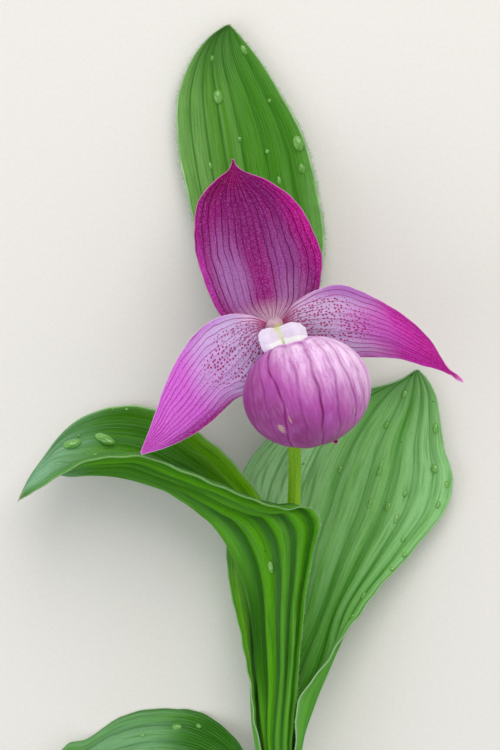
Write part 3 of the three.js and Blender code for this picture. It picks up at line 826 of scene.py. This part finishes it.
stalk = stalk_finish()
mauve_sepal = sepal_finish()
lilac_petal = petal_finish(
    "orchid_lilac_petal", ground="#c4b0da", far="#cd62d2", sparkle="#e69aee", vein="#93107c", patches=[
        (0.4, 0.5, 0.2, 0.6, 0.4, "#cf8fe0"),
        # Painted shade: the next two rows darken the lower edge of the petal.
        (0.7, 1.0, 0.34, 0.28, 0.95, "#861a78"),
        (0.55, 1.0, 0.34, 0.09, 0.85, "#8a0f5e"),
        (0.98, 0.5, 0.22, 0.7, 0.6, "#b036a6"),
        (0.4, 0.0, 0.3, 0.12, 0.7, "#b562c8"),
        (0.16, 1.0, 0.2, 0.16, 0.85, "#a02560"),
        (0.05, 0.1, 0.16, 0.2, 0.6, "#e2c8e6"),
    ],
)
magenta_petal = petal_finish(
    "vivid_magenta_petal", ground="#c6b2d6", far="#bf2aa6", sparkle="#d86ccc", vein="#8e0660", patches=[
        (0.48, 0.5, 0.26, 0.5, 0.75, "#b850b8"),
        (0.36, 0.95, 0.3, 0.22, 0.8, "#9850ac"),
        (0.86, 0.5, 0.26, 0.8, 0.8, "#b00a8c"),
        (0.75, 0.95, 0.3, 0.2, 0.6, "#9c0682"),
        (0.42, 0.0, 0.3, 0.17, 0.8, "#a04aa2"),
        (0.94, 0.4, 0.1, 0.8, 0.5, "#a40862"),
        (1.0, 0.5, 0.07, 0.9, 1.0, "#ee94dc"),
    ],
)
clear_hair = hair_finish("clear_plant_hair", root="#cfe2c0", end="#eef6e8")
water = water_finish()

bract = Blade(
    [
        wrap([14.8, 9.5, 22.4], 2.35, 270, 80),
        row([8.5, 17, 19.5], [13.8, 17, 15.5], [18.6, 17, 20]),
        row([2.1, 28.2, 12], [10, 28.2, 9.5], [19.1, 28.8, 12.5]),
        row([-5.9, 43, 8], [5.5, 43.6, 5], [22, 44.1, 9]),
        row([-11.6, 59.2, 6.5], [1.8, 60.2, 2.5], [24, 61.2, 7]),
        row([-15.6, 74.4, 5], [-0.8, 75.7, 0.5], [22.1, 73.8, 6]),
        row([-18.1, 88.1, 4], [-2.9, 90, -0.4], [18.5, 88.6, 5]),
        row([-18, 100.6, 4], [-5.2, 102.5, 0], [11.8, 101.4, 4.5]),
        row([-14.4, 110.9, 4], [-6.8, 112.1, 1.6], [5.7, 111.1, 4]),
        row([-9.9, 117.1, 4], [-5.9, 118, 3], [1.4, 116.6, 4]),
        row([-6.7, 119.8, 4.2], [-4.5, 120.3, 4], [-1.3, 119.7, 4.2]),
        tip([-3.6, 121.5, 4.6], [1, 0.1, 0]),
    ],
    rows=150, columns=110, thickness=LEAF_THICKNESS,
    pleats=[(7, 0.6, -0.3), (42, 0.08, 0)], ripple=(0.25, 17),
)
dorsal_sepal = Blade(
    [
        row([6.4, 35.9, 31.9], [8.8, 36.6, 31.4], [11.2, 36.3, 31.9]),
        row([-0.1, 34.8, 32.5], [8.3, 39, 30.5], [16.4, 38.2, 32.5]),
        row([-5.2, 37.9, 33], [7.7, 41.6, 29.5], [20.8, 42.9, 33]),
        row([-9.1, 45.1, 34.5], [6.7, 46.9, 28], [22.6, 49.3, 35]),
        row([-12.1, 54.1, 35], [5, 54.5, 27], [22.5, 56, 36]),
        row([-13, 62.5, 34.5], [3.1, 62.7, 26.8], [19.1, 64.4, 35.5]),
        row([-11.6, 70.6, 34], [1, 70.2, 27.5], [14.4, 71.4, 34.5]),
        row([-7.4, 75.9, 33], [-0.7, 75.2, 29.5], [6.6, 76.5, 33.3]),
        row([-3.5, 79, 31.8], [-1.7, 79.1, 31.3], [0.7, 78.9, 31.8]),
        row([-2.5, 81, 32.4], [-2, 81, 32.2], [-1.3, 80.7, 32.4]),
        tip([-2.1, 82, 33.5], [1, -0.2, 0]),
    ],
    rows=130, columns=110, thickness=PETAL_THICKNESS,
    pleats=[(7, 0.3, 0), (14, 0.12, 0)], ripple=(0.2, 12),
)
left_petal = Blade(
    [
        row([7.4, 36.6, 35.3], [7.6, 34.8, 35], [8.0, 32.9, 34.5]),
        row([2.7, 38.4, 36.5], [3.5, 33.1, 36.5], [8.2, 27.6, 34.5]),
        row([-2.4, 38.7, 37.5], [-0.1, 29.8, 38], [7.7, 21.7, 35]),
        row([-7.9, 37, 38.5], [-4.6, 25.6, 40], [4.9, 17, 36.5]),
        row([-12.4, 33.4, 39.5], [-9, 20.9, 42], [-0.7, 15.3, 39]),
        row([-16.8, 27.5, 41], [-13.2, 15.9, 44], [-6.8, 9.8, 42]),
        row([-20.1, 20.9, 43], [-17.3, 10.6, 46], [-12.3, 5.6, 44.5]),
        row([-23.1, 12.8, 45], [-21.4, 5.9, 47.5], [-18.7, 2.3, 46.5]),
        row([-25.4, 6.2, 47], [-24.7, 2.9, 48], [-23.3, 0.7, 47.8]),
        tip([-27.5, 0, 48.5], [0.5, -1, 0]),
    ],
    rows=130, columns=90, thickness=PETAL_THICKNESS,
    pleats=[(5, 0.16, 0), (13, 0.1, 0)], ripple=(0.3, 14),
)
right_petal = Blade(
    [
        row([11.6, 33.1, 34.5], [11.4, 35.4, 35], [11.6, 37.3, 35.3]),
        row([16.9, 29.5, 35], [16, 35.9, 37], [15.5, 42.1, 36.5]),
        row([24.4, 27, 36], [22.1, 36.5, 38.5], [21.1, 45.4, 36.5]),
        row([31.1, 26.6, 37.5], [28.8, 36.4, 39.5], [27.2, 46.9, 36.5]),
        row([38.3, 26.6, 39], [36, 35, 40.5], [33.9, 45, 37]),
        row([45.2, 25.9, 40], [43, 32.3, 41], [40.5, 41.5, 38]),
        row([51, 24.2, 41], [49.1, 29.2, 41.5], [46.6, 37.6, 39]),
        row([54.9, 23.1, 42], [53.8, 26.4, 42], [51.9, 32.5, 40]),
        row([57.4, 22.1, 42.5], [56.8, 23.9, 42.5], [55.7, 26.7, 41.5]),
        row([58.5, 21.5, 43.3], [58.5, 22.5, 43], [58, 23.5, 43]),
        row([59.9, 20.3, 44], [60.3, 21.1, 43.8], [60.2, 21.9, 44]),
        tip([61.8, 20, 45], [-0.2, 1, 0], 1),
    ],
    rows=130, columns=90, thickness=PETAL_THICKNESS,
    pleats=[(5, 0.16, 0), (13, 0.1, 0)], ripple=(0.2, 14),
)
synsepal = Blade(
    [
        row([10.9, 32, 32.7], [9.7, 31.7, 32.5], [8.4, 31.4, 32.7]),
        row([18, 31.2, 32.9], [12.2, 27.9, 31.5], [6.3, 24.5, 32.9]),
        row([24.2, 27, 33.4], [15.5, 22, 31.2], [6.9, 17, 33.4]),
        row([27.8, 21.4, 34], [18.9, 16.1, 31.8], [9.9, 10.9, 34]),
        row([28.9, 14.2, 34.5], [22.2, 10.2, 33], [15.5, 6.3, 34.5]),
        row([27.8, 7.9, 35.6], [24.7, 6.1, 35], [21.6, 4.2, 35.6]),
        row([27.1, 4.4, 36.6], [26.1, 3.9, 36.5], [25.1, 3.3, 36.6]),
        tip([26.9, 2.6, 37.5], [-1, -0.6, 0]),
    ],
    rows=90, columns=70, thickness=PETAL_THICKNESS,
    pleats=[(5, 0.25, 0), (10, 0.1, 0)], ripple=(0.15, 12),
)
staminode = Blade(
    [
        row([5.9, 34.2, 43.2], [7.9, 34.8, 44], [10, 34.9, 42.3], [13.8, 36.3, 44.2],
            [16.5, 36.1, 43.4]),
        row([5, 32.9, 43.9], [7.4, 32.8, 45.2], [10.8, 33.5, 43.5], [14.9, 34.6, 45.4],
            [17.9, 34.7, 44]),
        row([5.4, 30.6, 44.6], [7.9, 30.8, 46], [11.4, 32.1, 44.3], [15.4, 33.1, 46.2],
            [18.5, 33.1, 44.8]),
        row([6.6, 27.9, 45.6], [9, 28.6, 46.8], [12.1, 30.3, 45.2], [15.7, 31.1, 46.9],
            [18.7, 31.5, 45.6]),
        row([9.2, 26.4, 46.4], [10.4, 27, 47], [12.6, 28.3, 46.2], [15.2, 29.2, 47.2],
            [17, 29.8, 46.6]),
    ],
    rows=60, columns=80, thickness=SHIELD_THICKNESS, pleats=[], ripple=(0.1, 5),
)

bract.make("bract_blade", leaf_finish(
    "waxy_green_bract", valley="#2c6d06", painted_crest_light="#4c8c1c", rise=(0.03, 0.16), pleats=7, groove=0.75,
    haze="#7aaa60", haze_amount=0.5, gloss=0.45, pale_rim=0.6, patches=[
        (0.72, 0.05, 0.5, 0.42, 0.65, "#7eb062"),
        (0.7, 0.76, 0.4, 0.34, 0.7, "#418814"),
        (0.97, 0.45, 0.14, 0.7, 0.7, "#3c7030"),
        (0.4, 0.5, 0.3, 0.6, 0.4, "#3f8410"),
        (0.85, 0.88, 0.24, 0.24, 0.6, "#3c8412"),
        (0.5, 0.97, 0.28, 0.14, 0.8, "#6aa850"),
        (0.65, 1.0, 0.9, 0.022, 1.0, "#c6e4b8"),
        (0.65, 0.0, 0.9, 0.022, 1.0, "#c6e4b8"),
    ],
), "floral_bract", "bract_green")
dorsal_sepal.make("upper_sepal", mauve_sepal, "dorsal_sepal", "sepal_magenta")
left_petal.make("left_petal", lilac_petal, "petal_left", "petal_spotted")
right_petal.make("right_petal", magenta_petal, "petal_right", "petal_spotted")
synsepal.make("lower_sepals", mauve_sepal, "synsepal", "sepal_magenta")
staminode.make("staminode_shield", staminode_finish(), "staminode", "staminode_white")


class Pouch:
    """The lip, drawn by spokes from a hub: turn goes round its upright axis from the front, and
    fall goes from the axis down past the rim of the mouth to the bottom."""

    hub = np.array([18.4, 17, 44])
    claw = np.array([9.4, 32.8, 36]) - hub
    upright = np.array([-math.sin(POUCH_LEAN), math.cos(POUCH_LEAN), 0])
    sideways = np.array([math.cos(POUCH_LEAN), math.sin(POUCH_LEAN), 0])
    forward = np.array([0, 0, 1.0])
    rim_spoke = 19                # length of a spoke to the rim of the mouth
    vein_spoke = 17               # and of one to the veins
    far_from_veins = 9            # more than any vein reaches
    # The mesh is finer over the front, which goes this far to each side, and on the outside.
    front_half = math.radians(80)
    front_columns = 230
    back_columns = 90
    inside_rows = 60
    outside_rows = 130
    # Each main vein's turn in degrees at these falls, with its strength.
    falls = np.radians([35, 55, 75, 95, 115, 135, 160])
    veins = [
        ((-70, -62, -56, -58, -64, -72, -80), 0.45), ((-60, -52, -46, -48, -54, -62, -70), 0.6),
        ((-50, -42, -38, -41, -46, -54, -62), 0.65), ((-42, -36, -29, -27, -33, -44, -56), 0.6),
        ((-31, -26, -20, -15, -22, -37, -50), 1.0), ((-10, -7, -4, -5, -9, -13, -18), 0.4),
        ((5, 6.5, 8, 6, 4.5, 1.5, -5), 1.0), ((20, 20, 20, 17, 17, 17, 18), 0.55),
        ((30, 29, 28, 28, 33, 39, 45), 0.62), ((40, 39, 38, 39, 44, 52, 60), 0.5),
        ((52, 50, 49, 51, 56, 64, 72), 0.5), ((64, 62, 61, 63, 68, 76, 84), 0.5),
    ] + [((turn,) * 7, 0.5) for turn in range(80, 285, 14)]
    # Notches of the rim: the turn of the middle, the reach to each side and the depth, in degrees.
    notches = [(-7, 3.5, 1.6), (9, 3.5, 1.8), (-27, 3.5, 1.0), (36, 3.5, 1.2), (2, 18, 5.6)]

    def reach(self, direction):
        """Length of a spoke to the egg-shaped wall, whose middle lies ahead of the hub."""
        a = (direction @ self.sideways / POUCH_HALF_WIDTH) ** 2
        a += (direction @ self.upright / POUCH_HALF_HEIGHT) ** 2
        a += (direction @ self.forward / POUCH_HALF_DEPTH) ** 2
        b = -2 * (direction @ self.forward) * POUCH_SET_BACK / POUCH_HALF_DEPTH ** 2
        c = (POUCH_SET_BACK / POUCH_HALF_DEPTH) ** 2 - 1
        return (-b + np.sqrt(b * b - 4 * a * c)) / (2 * a)

    def wall(self, turn, fall, depth):
        """A point of the wall, depth mm in from its outside."""
        direction = np.cos(fall)[..., None] * self.upright
        direction = direction + (np.sin(fall) * np.sin(turn))[..., None] * self.sideways
        direction = direction + (np.sin(fall) * np.cos(turn))[..., None] * self.forward
        claw_length = np.linalg.norm(self.claw)
        towards_claw = np.arccos(np.clip(direction @ (self.claw / claw_length), -1, 1))
        growth = claw_length - self.reach(self.claw / claw_length)
        growth = growth * np.exp(-((towards_claw / CLAW_SPREAD) ** 2))
        length = self.reach(direction) + growth - depth
        return self.hub + direction * length[..., None]

    def vein_path(self, turns, fall):
        """The turn of a vein at each fall, its corners rounded off, in radians."""
        shifts = np.radians([-12, -8, -4, 0, 4, 8, 12])
        paths = [np.interp(fall + shift, self.falls, np.radians(turns)) for shift in shifts]
        return np.mean(paths, axis=0)

    def vein_relief(self, turn, fall):
        """How far the veins sink the wall, and the distance to the nearest vein in millimetres
        with its strength."""
        radius = self.vein_spoke * np.sin(fall)
        sunk = 0 * turn
        nearest = sunk + self.far_from_veins
        strength = sunk
        for turns, strong in self.veins:
            wander = np.radians(0.7) * np.sin(9 * fall + turns[0]) + np.radians(0.4) * np.sin(
                21 * fall + 2 * turns[1]
            )
            gap = turn - self.vein_path(turns, fall) - wander
            gap = np.abs((gap + math.pi) % TURN - math.pi) * radius
            groove = 0.16 * np.exp(-((gap / 0.4) ** 2)) + 0.3 * np.exp(-((gap / 2.2) ** 2))
            sunk = np.maximum(sunk, strong ** 2 * groove)
            strength = np.where(gap < nearest, strong, strength)
            nearest = np.minimum(nearest, gap)
        return sunk * np.sin(fall) ** 0.5, nearest, strength

    def make(self, finish):
        """The open pouch: up its inside, round its rolled rim and down its outside."""
        front = self.front_half
        turn = np.concatenate([
            np.linspace(-front, front, self.front_columns, endpoint=False),
            np.linspace(front, TURN - front, self.back_columns, endpoint=False),
        ])
        columns = len(turn)
        scallop = 0.5 * np.sin(13 * turn + 1.0) + 0.35 * np.sin(23 * turn + 0.4)
        for at, reach, deep in self.notches:
            scallop += deep * np.exp(-((np.degrees(turn) - at) / reach) ** 4)
        rim = MOUTH_ANGLE + MOUTH_SKEW * np.cos(turn + MOUTH_TURN) + np.radians(scallop)
        bottom = math.pi - 0.05
        roll = np.linspace(0, math.radians(165), 10)
        falls, depths = [], []
        for share in np.linspace(1, 0, self.inside_rows):
            falls.append(rim + (bottom - rim) * share)
            depths.append(POUCH_WALL + 0 * rim)
        for radius, angles in ((RIM_ROLL - POUCH_WALL, roll[1:]), (RIM_ROLL, roll[::-1])):
            for angle in angles:
                falls.append(rim - radius * math.sin(angle) / self.rim_spoke)
                depths.append(RIM_ROLL - radius * math.cos(angle) + 0 * rim)
        for share in np.linspace(0, 1, self.outside_rows)[1:]:
            falls.append(rim + (bottom - rim) * share)
            depths.append(0 * rim)
        fall, depth = np.array(falls), np.array(depths)
        turn = turn + 0 * fall
        sunk, nearest, strength = self.vein_relief(turn, fall)
        points = self.wall(turn, fall, depth + sunk)
        rows = len(fall)
        index = np.arange(rows * columns).reshape(rows, columns)
        faces = quads(ringed(index))[:, ::-1].tolist()
        poles = [points[0].mean(axis=0), points[-1].mean(axis=0)]
        for k in range(columns):
            n = (k + 1) % columns
            faces.append([rows * columns, int(index[0, k]), int(index[0, n])])
            faces.append([rows * columns + 1, int(index[-1, n]), int(index[-1, k])])
        # Its own colour and painted shade deepen towards the bottom, and much more on the left.
        deep = (np.degrees(fall) - 53 * np.sin(turn) + 20 * np.abs(np.sin(turn))) / 90
        down = POUCH_SPOKE * fall
        below_rim = POUCH_SPOKE * (fall - rim)
        place = np.stack([turn / TURN % 1, down, strength], axis=-1).reshape(-1, 3)
        spread = np.stack([deep, nearest, below_rim], axis=-1).reshape(-1, 3)
        pole_place = [0, POUCH_SPOKE * math.pi, 0]
        pole_spread = [2, self.far_from_veins, 1]
        measures = {"place": np.concatenate([place, [pole_place, pole_place]]),
                    "spread": np.concatenate([spread, [pole_spread, pole_spread]])}
        all_points = np.concatenate([points.reshape(-1, 3), poles])
        return piece("lip", all_points, faces, finish, "lip_pouch", "pouch_pink", measures)


Pouch().make(pouch_finish())

# ---- stem, ovary and column ------------------------------------------------------------------

stem = Rod(
    [[12, -121, 19], [11.5, -98, 19.5], [11.4, -81, 20], [11.8, -67, 20], [13.1, -42, 20.5],
     [14.2, -27, 21], [15.2, -8, 22], [15, 6, 22.3], [14.6, 12.4, 22.5]],
    lambda u, angle: 2.2 - 0.55 * u + 0.05 * np.cos(9 * angle) + 0.03 * np.sin(17 * angle + 9 * u),
    rows=160, sides=60, start_dome=0.05, end_dome=0.3,
)
ovary = Rod(
    [[14.5, 13, 22.6], [13.6, 18.9, 24], [11.9, 24.5, 26], [10.2, 29.6, 28], [9.2, 32.9, 29.6],
     [9.05, 33.6, 30.9]],
    lambda u, angle: 1.65 + (0.3 + 0.25 * np.cos(3 * angle)) * np.sin(math.pi * u)
    + 0.04 * np.cos(12 * angle),
    rows=60, sides=60, start_dome=0.2, end_dome=0.3,
)
column = Rod(
    [[9.05, 34, 31.6], [9.1, 34.8, 35], [9.4, 35.4, 39], [9.6, 35.7, 40.8]],
    lambda u, angle: 2.1 + 0.06 * np.cos(2 * angle) + 0.2 * u ** 3,
    rows=50, sides=60, start_dome=0.1, end_dome=1.7,
)
stem.make("stem_stalk", stalk, "stem", "stem_green")
ovary.make("ovary_stalk", stalk, "ovary", "stem_green")
column.make("column_body", column_finish(), "column", "column_cream")

# ---- leaves ----------------------------------------------------------------------------------

upper_leaf = Blade(
    [
        wrap([11.6, -100, 19.5], 2.9, 180, 150),
        wrap([11.4, -92, 19.7], 3.1, 180, 150),
        wrap([11.2, -82, 20], 4.3, 180, 140),
        fold([16.7, -57, 24.1], [5.6, -67.1, 19.5], [14.8, -67.4, 16.2], 3.2, -0.9),
        fold([18.3, -40.5, 27.7], [4.2, -53, 19.5], [14, -53.3, 14.8], 2.8, -1),
        fold([20.8, -26.7, 31], [2.2, -39.5, 19.5], [12.3, -39.7, 13], 2.4, -1.2),
        fold([22.3, -18.7, 33.4], [-2.5, -27.6, 20], [10.6, -25.1, 11.5], 2, -1.5),
        fold([18.8, -14.9, 34.9], [-7.3, -20.6, 20.4], [8.3, -17.2, 10.8], 1.7, -1.5),
        fold([13, -15.1, 36.1], [-11.4, -16.9, 20.8], [6.1, -13.2, 9.8], 1.5, -1.5),
        fold([8.2, -14.5, 37], [-14.8, -13.8, 21.2], [2.9, -8.7, 8.8], 1.5, -1.5),
        fold([3.1, -12.6, 37.9], [-18.2, -11.5, 21.6], [-1, -3.9, 7.6], 1.5, -1.5),
        fold([-2.5, -10, 38.7], [-21.3, -9.5, 21.8], [-4.2, -0.5, 6.8], 1.2, -1.5),
        fold([-8.6, -7.7, 39.8], [-25.5, -7.9, 22.2], [-8.2, 2.6, 6], 1, -1.5),
        fold([-17.1, -4.4, 41.2], [-30.8, -6.3, 22.6], [-15.6, 8.6, 4.5], 0.5, -1.5),
        fold([-26, -0.5, 41.8], [-36.7, -5.4, 23], [-24.4, 12.2, 3.5], 0, -1.5),
        fold([-34.6, -1, 40], [-42.6, -5.3, 23], [-33.8, 13.2, 3.5], 0, -1.5),
        fold([-43, -2.1, 37], [-48.6, -5.9, 22.5], [-42.3, 11.2, 5.5], 0, -1),
        fold([-49.3, -5.4, 33.5], [-52.8, -5.2, 22], [-49.6, 6.4, 9.5], 0, -1),
        fold([-55.3, -9.4, 30], [-57, -7.5, 23.5], [-55, -0.5, 15.5]),
        fold([-59.6, -12, 27.5], [-60.3, -10.3, 25], [-59.3, -7, 21.5]),
        tip([-62.5, -13.8, 26], [0, -0.6, 1]),
    ],
    rows=190, columns=110, thickness=LEAF_THICKNESS,
    pleats=[(9, 2.1, 0.15), (45, 0.07, 0)], ripple=(0.3, 15),
)
middle_leaf = Blade(
    [
        wrap([11.8, -108, 19.2], 4.1, 275, 150),
        wrap([11.5, -98, 19.5], 4.2, 275, 145),
        wrap([10.8, -84, 19.7], 6, 275, 130),
        row([3.3, -70, 21], [4.4, -70.6, 13.8], [12.3, -71.3, 10.5], [20.8, -70, 15.5],
            [16.7, -69, 25.8]),
        row([1.5, -58, 18.5], [6.1, -59.1, 11.8], [16.3, -61, 9], [25.6, -58.4, 13.5],
            [25.5, -57, 20.5]),
        row([-2.2, -42.6, 14], [22.4, -47.1, 6], [35.8, -42.8, 14.5]),
        row([-4.1, -27.4, 10], [28, -31.6, 3.5], [48.1, -29.1, 9]),
        row([-1.2, -13, 8], [33.3, -18.2, 1.5], [58.4, -16.4, 6]),
        row([1.5, -4.2, 7], [37, -6.6, 0.2], [60.5, -7.9, 4.5]),
        row([8.9, 4.9, 6.5], [40.5, 3.7, -0.4], [58.2, 0.3, 4]),
        row([20.3, 13.4, 5.5], [44.6, 12.3, 0.2], [56.9, 8.9, 3.5]),
        row([33.4, 17.1, 5], [46.9, 18, 1.2], [55.7, 15.7, 3.5]),
        row([44.8, 20, 4], [48.6, 21.4, 2.5], [53.1, 20.8, 3.8]),
        tip([50.2, 23.3, 4], [1, 0.1, 0]),
    ],
    rows=170, columns=120, thickness=LEAF_THICKNESS,
    pleats=[(8, 1.6, -0.3), (48, 0.08, 0)], ripple=(0.3, 18),
)
lower_leaf = Blade(
    [
        wrap([12, -119, 19.1], 5.1, 180, 155),
        wrap([11.8, -112, 19.2], 5.2, 180, 150),
        wrap([10.5, -104, 19.3], 7, 180, 120, 3),
        fold([6, -110.3, 25], [1.2, -101.7, 17], [4.4, -92.2, 12]),
        fold([-4.4, -113.8, 27], [-8.1, -94.4, 13], [-0.8, -82.4, 7]),
        fold([-17, -114.9, 27], [-20, -91.8, 10], [-10.2, -75.1, 1], 0, -1),
        fold([-29.6, -112.6, 25], [-32, -92.7, 9], [-21.6, -73.4, -2.5], 0, -1.5),
        fold([-40.1, -107.8, 22], [-41.3, -95.5, 10], [-33.9, -75.7, -2], 0, -1.5),
        fold([-47.6, -102.5, 18], [-48.4, -96.5, 11], [-44.1, -82.1, 2.5], 0, -1),
        fold([-51.9, -99.1, 15], [-52.6, -94.8, 11], [-49.4, -83.3, 5]),
        tip([-55.8, -94.3, 11], [0.3, 1, 0]),
    ],
    rows=120, columns=100, thickness=LEAF_THICKNESS,
    pleats=[(8, 0.7, -0.2), (40, 0.05, 0)], ripple=(0.3, 16),
)
upper_leaf.make("upper_leaf", leaf_finish(
    "ribbed_deep_green_leaf", valley="#286604", painted_crest_light="#55a006", rise=(0.5, 0.14), pleats=9,
    groove=0.1, haze="#7fae78", haze_amount=0.14, gloss=0.38, pale_rim=0.25, patches=[
        (0.93, 0.6, 0.115, 0.7, 1.0, "#96c6a4"),
        (0.84, 0.62, 0.12, 0.14, 0.6, "#5f9048"),
        (0.8, 0.88, 0.18, 0.2, 0.8, "#34700a"),
        (0.67, 0.76, 0.18, 0.24, 0.8, "#40860e"),
        # Painted light: a bright strip along the right margin, as if lit through the leaf from behind.
        (0.6, 1.0, 0.24, 0.3, 1.0, "#86d40c"),
        (0.78, 0.3, 0.2, 0.3, 0.6, "#347210"),
        (0.33, 0.46, 0.22, 0.11, 1.0, "#1c5602"),
        (1.0, 0.5, 0.03, 0.9, 0.8, "#b4c878"),
        (0.75, 1.0, 0.5, 0.024, 0.9, "#bcdab4"),
    ],
), "leaf_upper", "leaf_green")
middle_leaf.make("middle_leaf", leaf_finish(
    "ribbed_glaucous_leaf", valley="#3c8a14", painted_crest_light="#76b85a", rise=(0.04, 0.26), pleats=8,
    groove=0.5, haze="#98cc8c", haze_amount=0.55, gloss=0.42, pale_rim=0.5, patches=[
        (0.2, 0.5, 0.45, 0.9, 0.8, "#4a9a08"),
        # Painted light: the next two rows lighten the left margin where the lip's shadow falls, over
        # the leaf's own paler haze there.
        (0.6, 0.1, 0.34, 0.32, 0.95, "#ace09e"),
        (0.78, 0.1, 0.22, 0.34, 0.75, "#b8ecac"),
        (0.75, 1.0, 0.7, 0.012, 0.7, "#c0dcb8"),
        (0.68, 0.42, 0.2, 0.26, 0.5, "#8cc678"),
        (0.76, 0.85, 0.3, 0.3, 0.8, "#98d08e"),
        (0.97, 0.5, 0.08, 0.8, 0.5, "#6fa563"),
        (0.43, 0.0, 0.3, 0.2, 1.0, "#68b014"),
    ],
), "leaf_middle", "leaf_green")
lower_leaf.make("lower_leaf", leaf_finish(
    "glossy_green_leaf", valley="#2a6408", painted_crest_light="#4c9010", rise=(0.03, 0.3), pleats=8, groove=0.4,
    haze="#88b884", haze_amount=0.45, gloss=0.3, pale_rim=0.5, patches=[
        (0.8, 0.7, 0.35, 0.45, 0.85, "#80b484"),
        (0.35, 0.8, 0.3, 0.5, 0.85, "#2a6c00"),
        (0.5, 0.86, 0.18, 0.4, 0.85, "#246400"),
    ],
), "leaf_lower", "leaf_green")

# ---- hairs -----------------------------------------------------------------------------------

hairs = joined([
    margin_hairs(bract, per_mm=7, length=0.85, radius=0.065, start=0.1),
    margin_hairs(upper_leaf, per_mm=3, length=0.5, radius=0.045, start=0.15),
    margin_hairs(middle_leaf, per_mm=3, length=0.45, radius=0.05, start=0.15),
    margin_hairs(lower_leaf, per_mm=3, length=0.45, radius=0.05, start=0.15),
    stem.down(count=1400, length=0.6, radius=0.03),
    ovary.down(count=500, length=0.6, radius=0.03),
])
piece("plant_hairs", *hairs, clear_hair)

# ---- rain drops ------------------------------------------------------------------------------

# Each drop: its share along the blade and across it, its length and width in millimetres, and
# for one its turn in degrees. The number after the blade is 1 for its upper face, -1 for its back.
drops = [
    (bract, 1, [
        (0.912, 0.416, 2.0, 1.3), (0.82, 0.446, 4.4, 3.0), (0.939, 0.869, 3.2, 1.8),
        (0.813, 0.869, 1.3, 1.2), (0.714, 0.938, 4.8, 3.1), (0.654, 0.928, 3.2, 2.1),
        (0.714, 0.554, 1.6, 1.4), (0.688, 0.731, 1.6, 1.4), (0.654, 0.269, 2.6, 1.3),
        (0.621, 0.771, 2.6, 1.1),
    ]),
    (upper_leaf, 1, [
        (0.886, 0.73, 5.6, 3.2), (0.834, 0.72, 6.8, 3.2, -38), (0.881, 0.808, 1.2, 1.0),
        (0.844, 0.969, 1.2, 1.0), (0.823, 0.942, 1.1, 0.9), (0.834, 0.63, 1.4, 0.9),
    ]),
    (upper_leaf, -1, [(0.437, 0.308, 3.8, 1.7)]),
    (middle_leaf, 1, [
        (0.938, 0.52, 2.6, 2.0), (0.868, 0.488, 2.4, 1.7), (0.886, 0.938, 3.3, 1.9),
        (0.787, 0.889, 2.9, 2.7), (0.769, 0.545, 2.8, 1.6), (0.769, 0.365, 2.4, 1.5),
        (0.699, 0.545, 3.0, 1.4), (0.694, 0.651, 2.8, 2.3), (0.723, 0.725, 2.2, 1.6),
        (0.664, 0.725, 3.2, 1.4), (0.612, 0.856, 1.7, 1.6), (0.571, 0.96, 1.6, 1.5),
        (0.536, 0.96, 1.4, 1.3), (0.688, 0.95, 2.2, 1.6), (0.746, 0.965, 2.2, 1.4),
        (0.484, 0.864, 2.6, 1.5), (0.425, 0.95, 1.6, 1.3), (0.21, 0.578, 2.4, 1.5),
    ]),
    (lower_leaf, 1, [
        (0.62, 0.86, 3.4, 2.2), (0.55, 0.9, 2.0, 1.4), (0.72, 0.8, 1.8, 1.3), (0.5, 0.7, 1.8, 1.2),
        (0.35, 0.78, 2.6, 1.6), (0.66, 0.68, 1.3, 1.0),
    ]),
]
wet = [drop_mesh(blade, side, *size) for blade, side, sizes in drops for size in sizes]
piece("rain_drops", *joined(wet), water)

# ---- stage, lights and camera ----------------------------------------------------------------


def stage():
    """A pale matte card under the shoot."""
    mesh = bpy.data.meshes.new("floor")
    mesh.from_pydata([(-3, -3, 0), (3, -3, 0), (3, 3, 0), (-3, 3, 0)], [], [(0, 1, 2, 3)])
    material, tree, surface = begin_finish("matte_card", Roughness=0.8)
    card = layered(tree, "#e9e7e3", (between(tree, grain(tree, 1.0), 0.4, 0.6, 0.0, 0.2), "#dfddd8"))
    dress(tree, surface, card)
    mesh.materials.append(material)
    floor = bpy.data.objects.new("floor", mesh)
    bpy.context.scene.collection.objects.link(floor)


def lamp(name, place, size, power, colour):
    """A square softbox that faces the flower, its place and size in metres."""
    data = bpy.data.lights.new(name, "AREA")
    data.shape = "SQUARE"
    data.size = size
    data.energy = power
    data.color = linear(colour)[:3]
    made = bpy.data.objects.new(name, data)
    made.location = place
    aim = MM * np.array([5, 10, 30]) - np.array(place)
    made.rotation_euler = Vector(aim).to_track_quat("-Z", "Y").to_euler()
    bpy.context.scene.collection.objects.link(made)


def world(colour, strength):
    """Even light from all round."""
    made = bpy.data.worlds.new("studio")
    made.use_nodes = True
    made.node_tree.nodes["Background"].inputs["Color"].default_value = linear(colour)
    made.node_tree.nodes["Background"].inputs["Strength"].default_value = strength
    bpy.context.scene.world = made


def camera():
    """A long lens straight above the shoot, with +Y up in the picture."""
    data = bpy.data.cameras.new("camera")
    data.lens = CAMERA_LENS
    data.sensor_width = 36
    data.clip_end = 20
    made = bpy.data.objects.new("camera", data)
    made.location = (CAMERA_X * MM, CAMERA_Y * MM, CAMERA_HEIGHT * MM)
    bpy.context.scene.collection.objects.link(made)
    bpy.context.scene.camera = made


stage()
lamp("key", place=(0.2, 0.75, 0.95), size=1.0, power=8, colour="#fffbf5")
lamp("fill", place=(-0.8, -0.3, 0.8), size=0.8, power=2.5, colour="#f2f6ff")
world(colour="#ffffff", strength=0.62)
camera()
bpy.context.scene.view_settings.view_transform = "Standard"
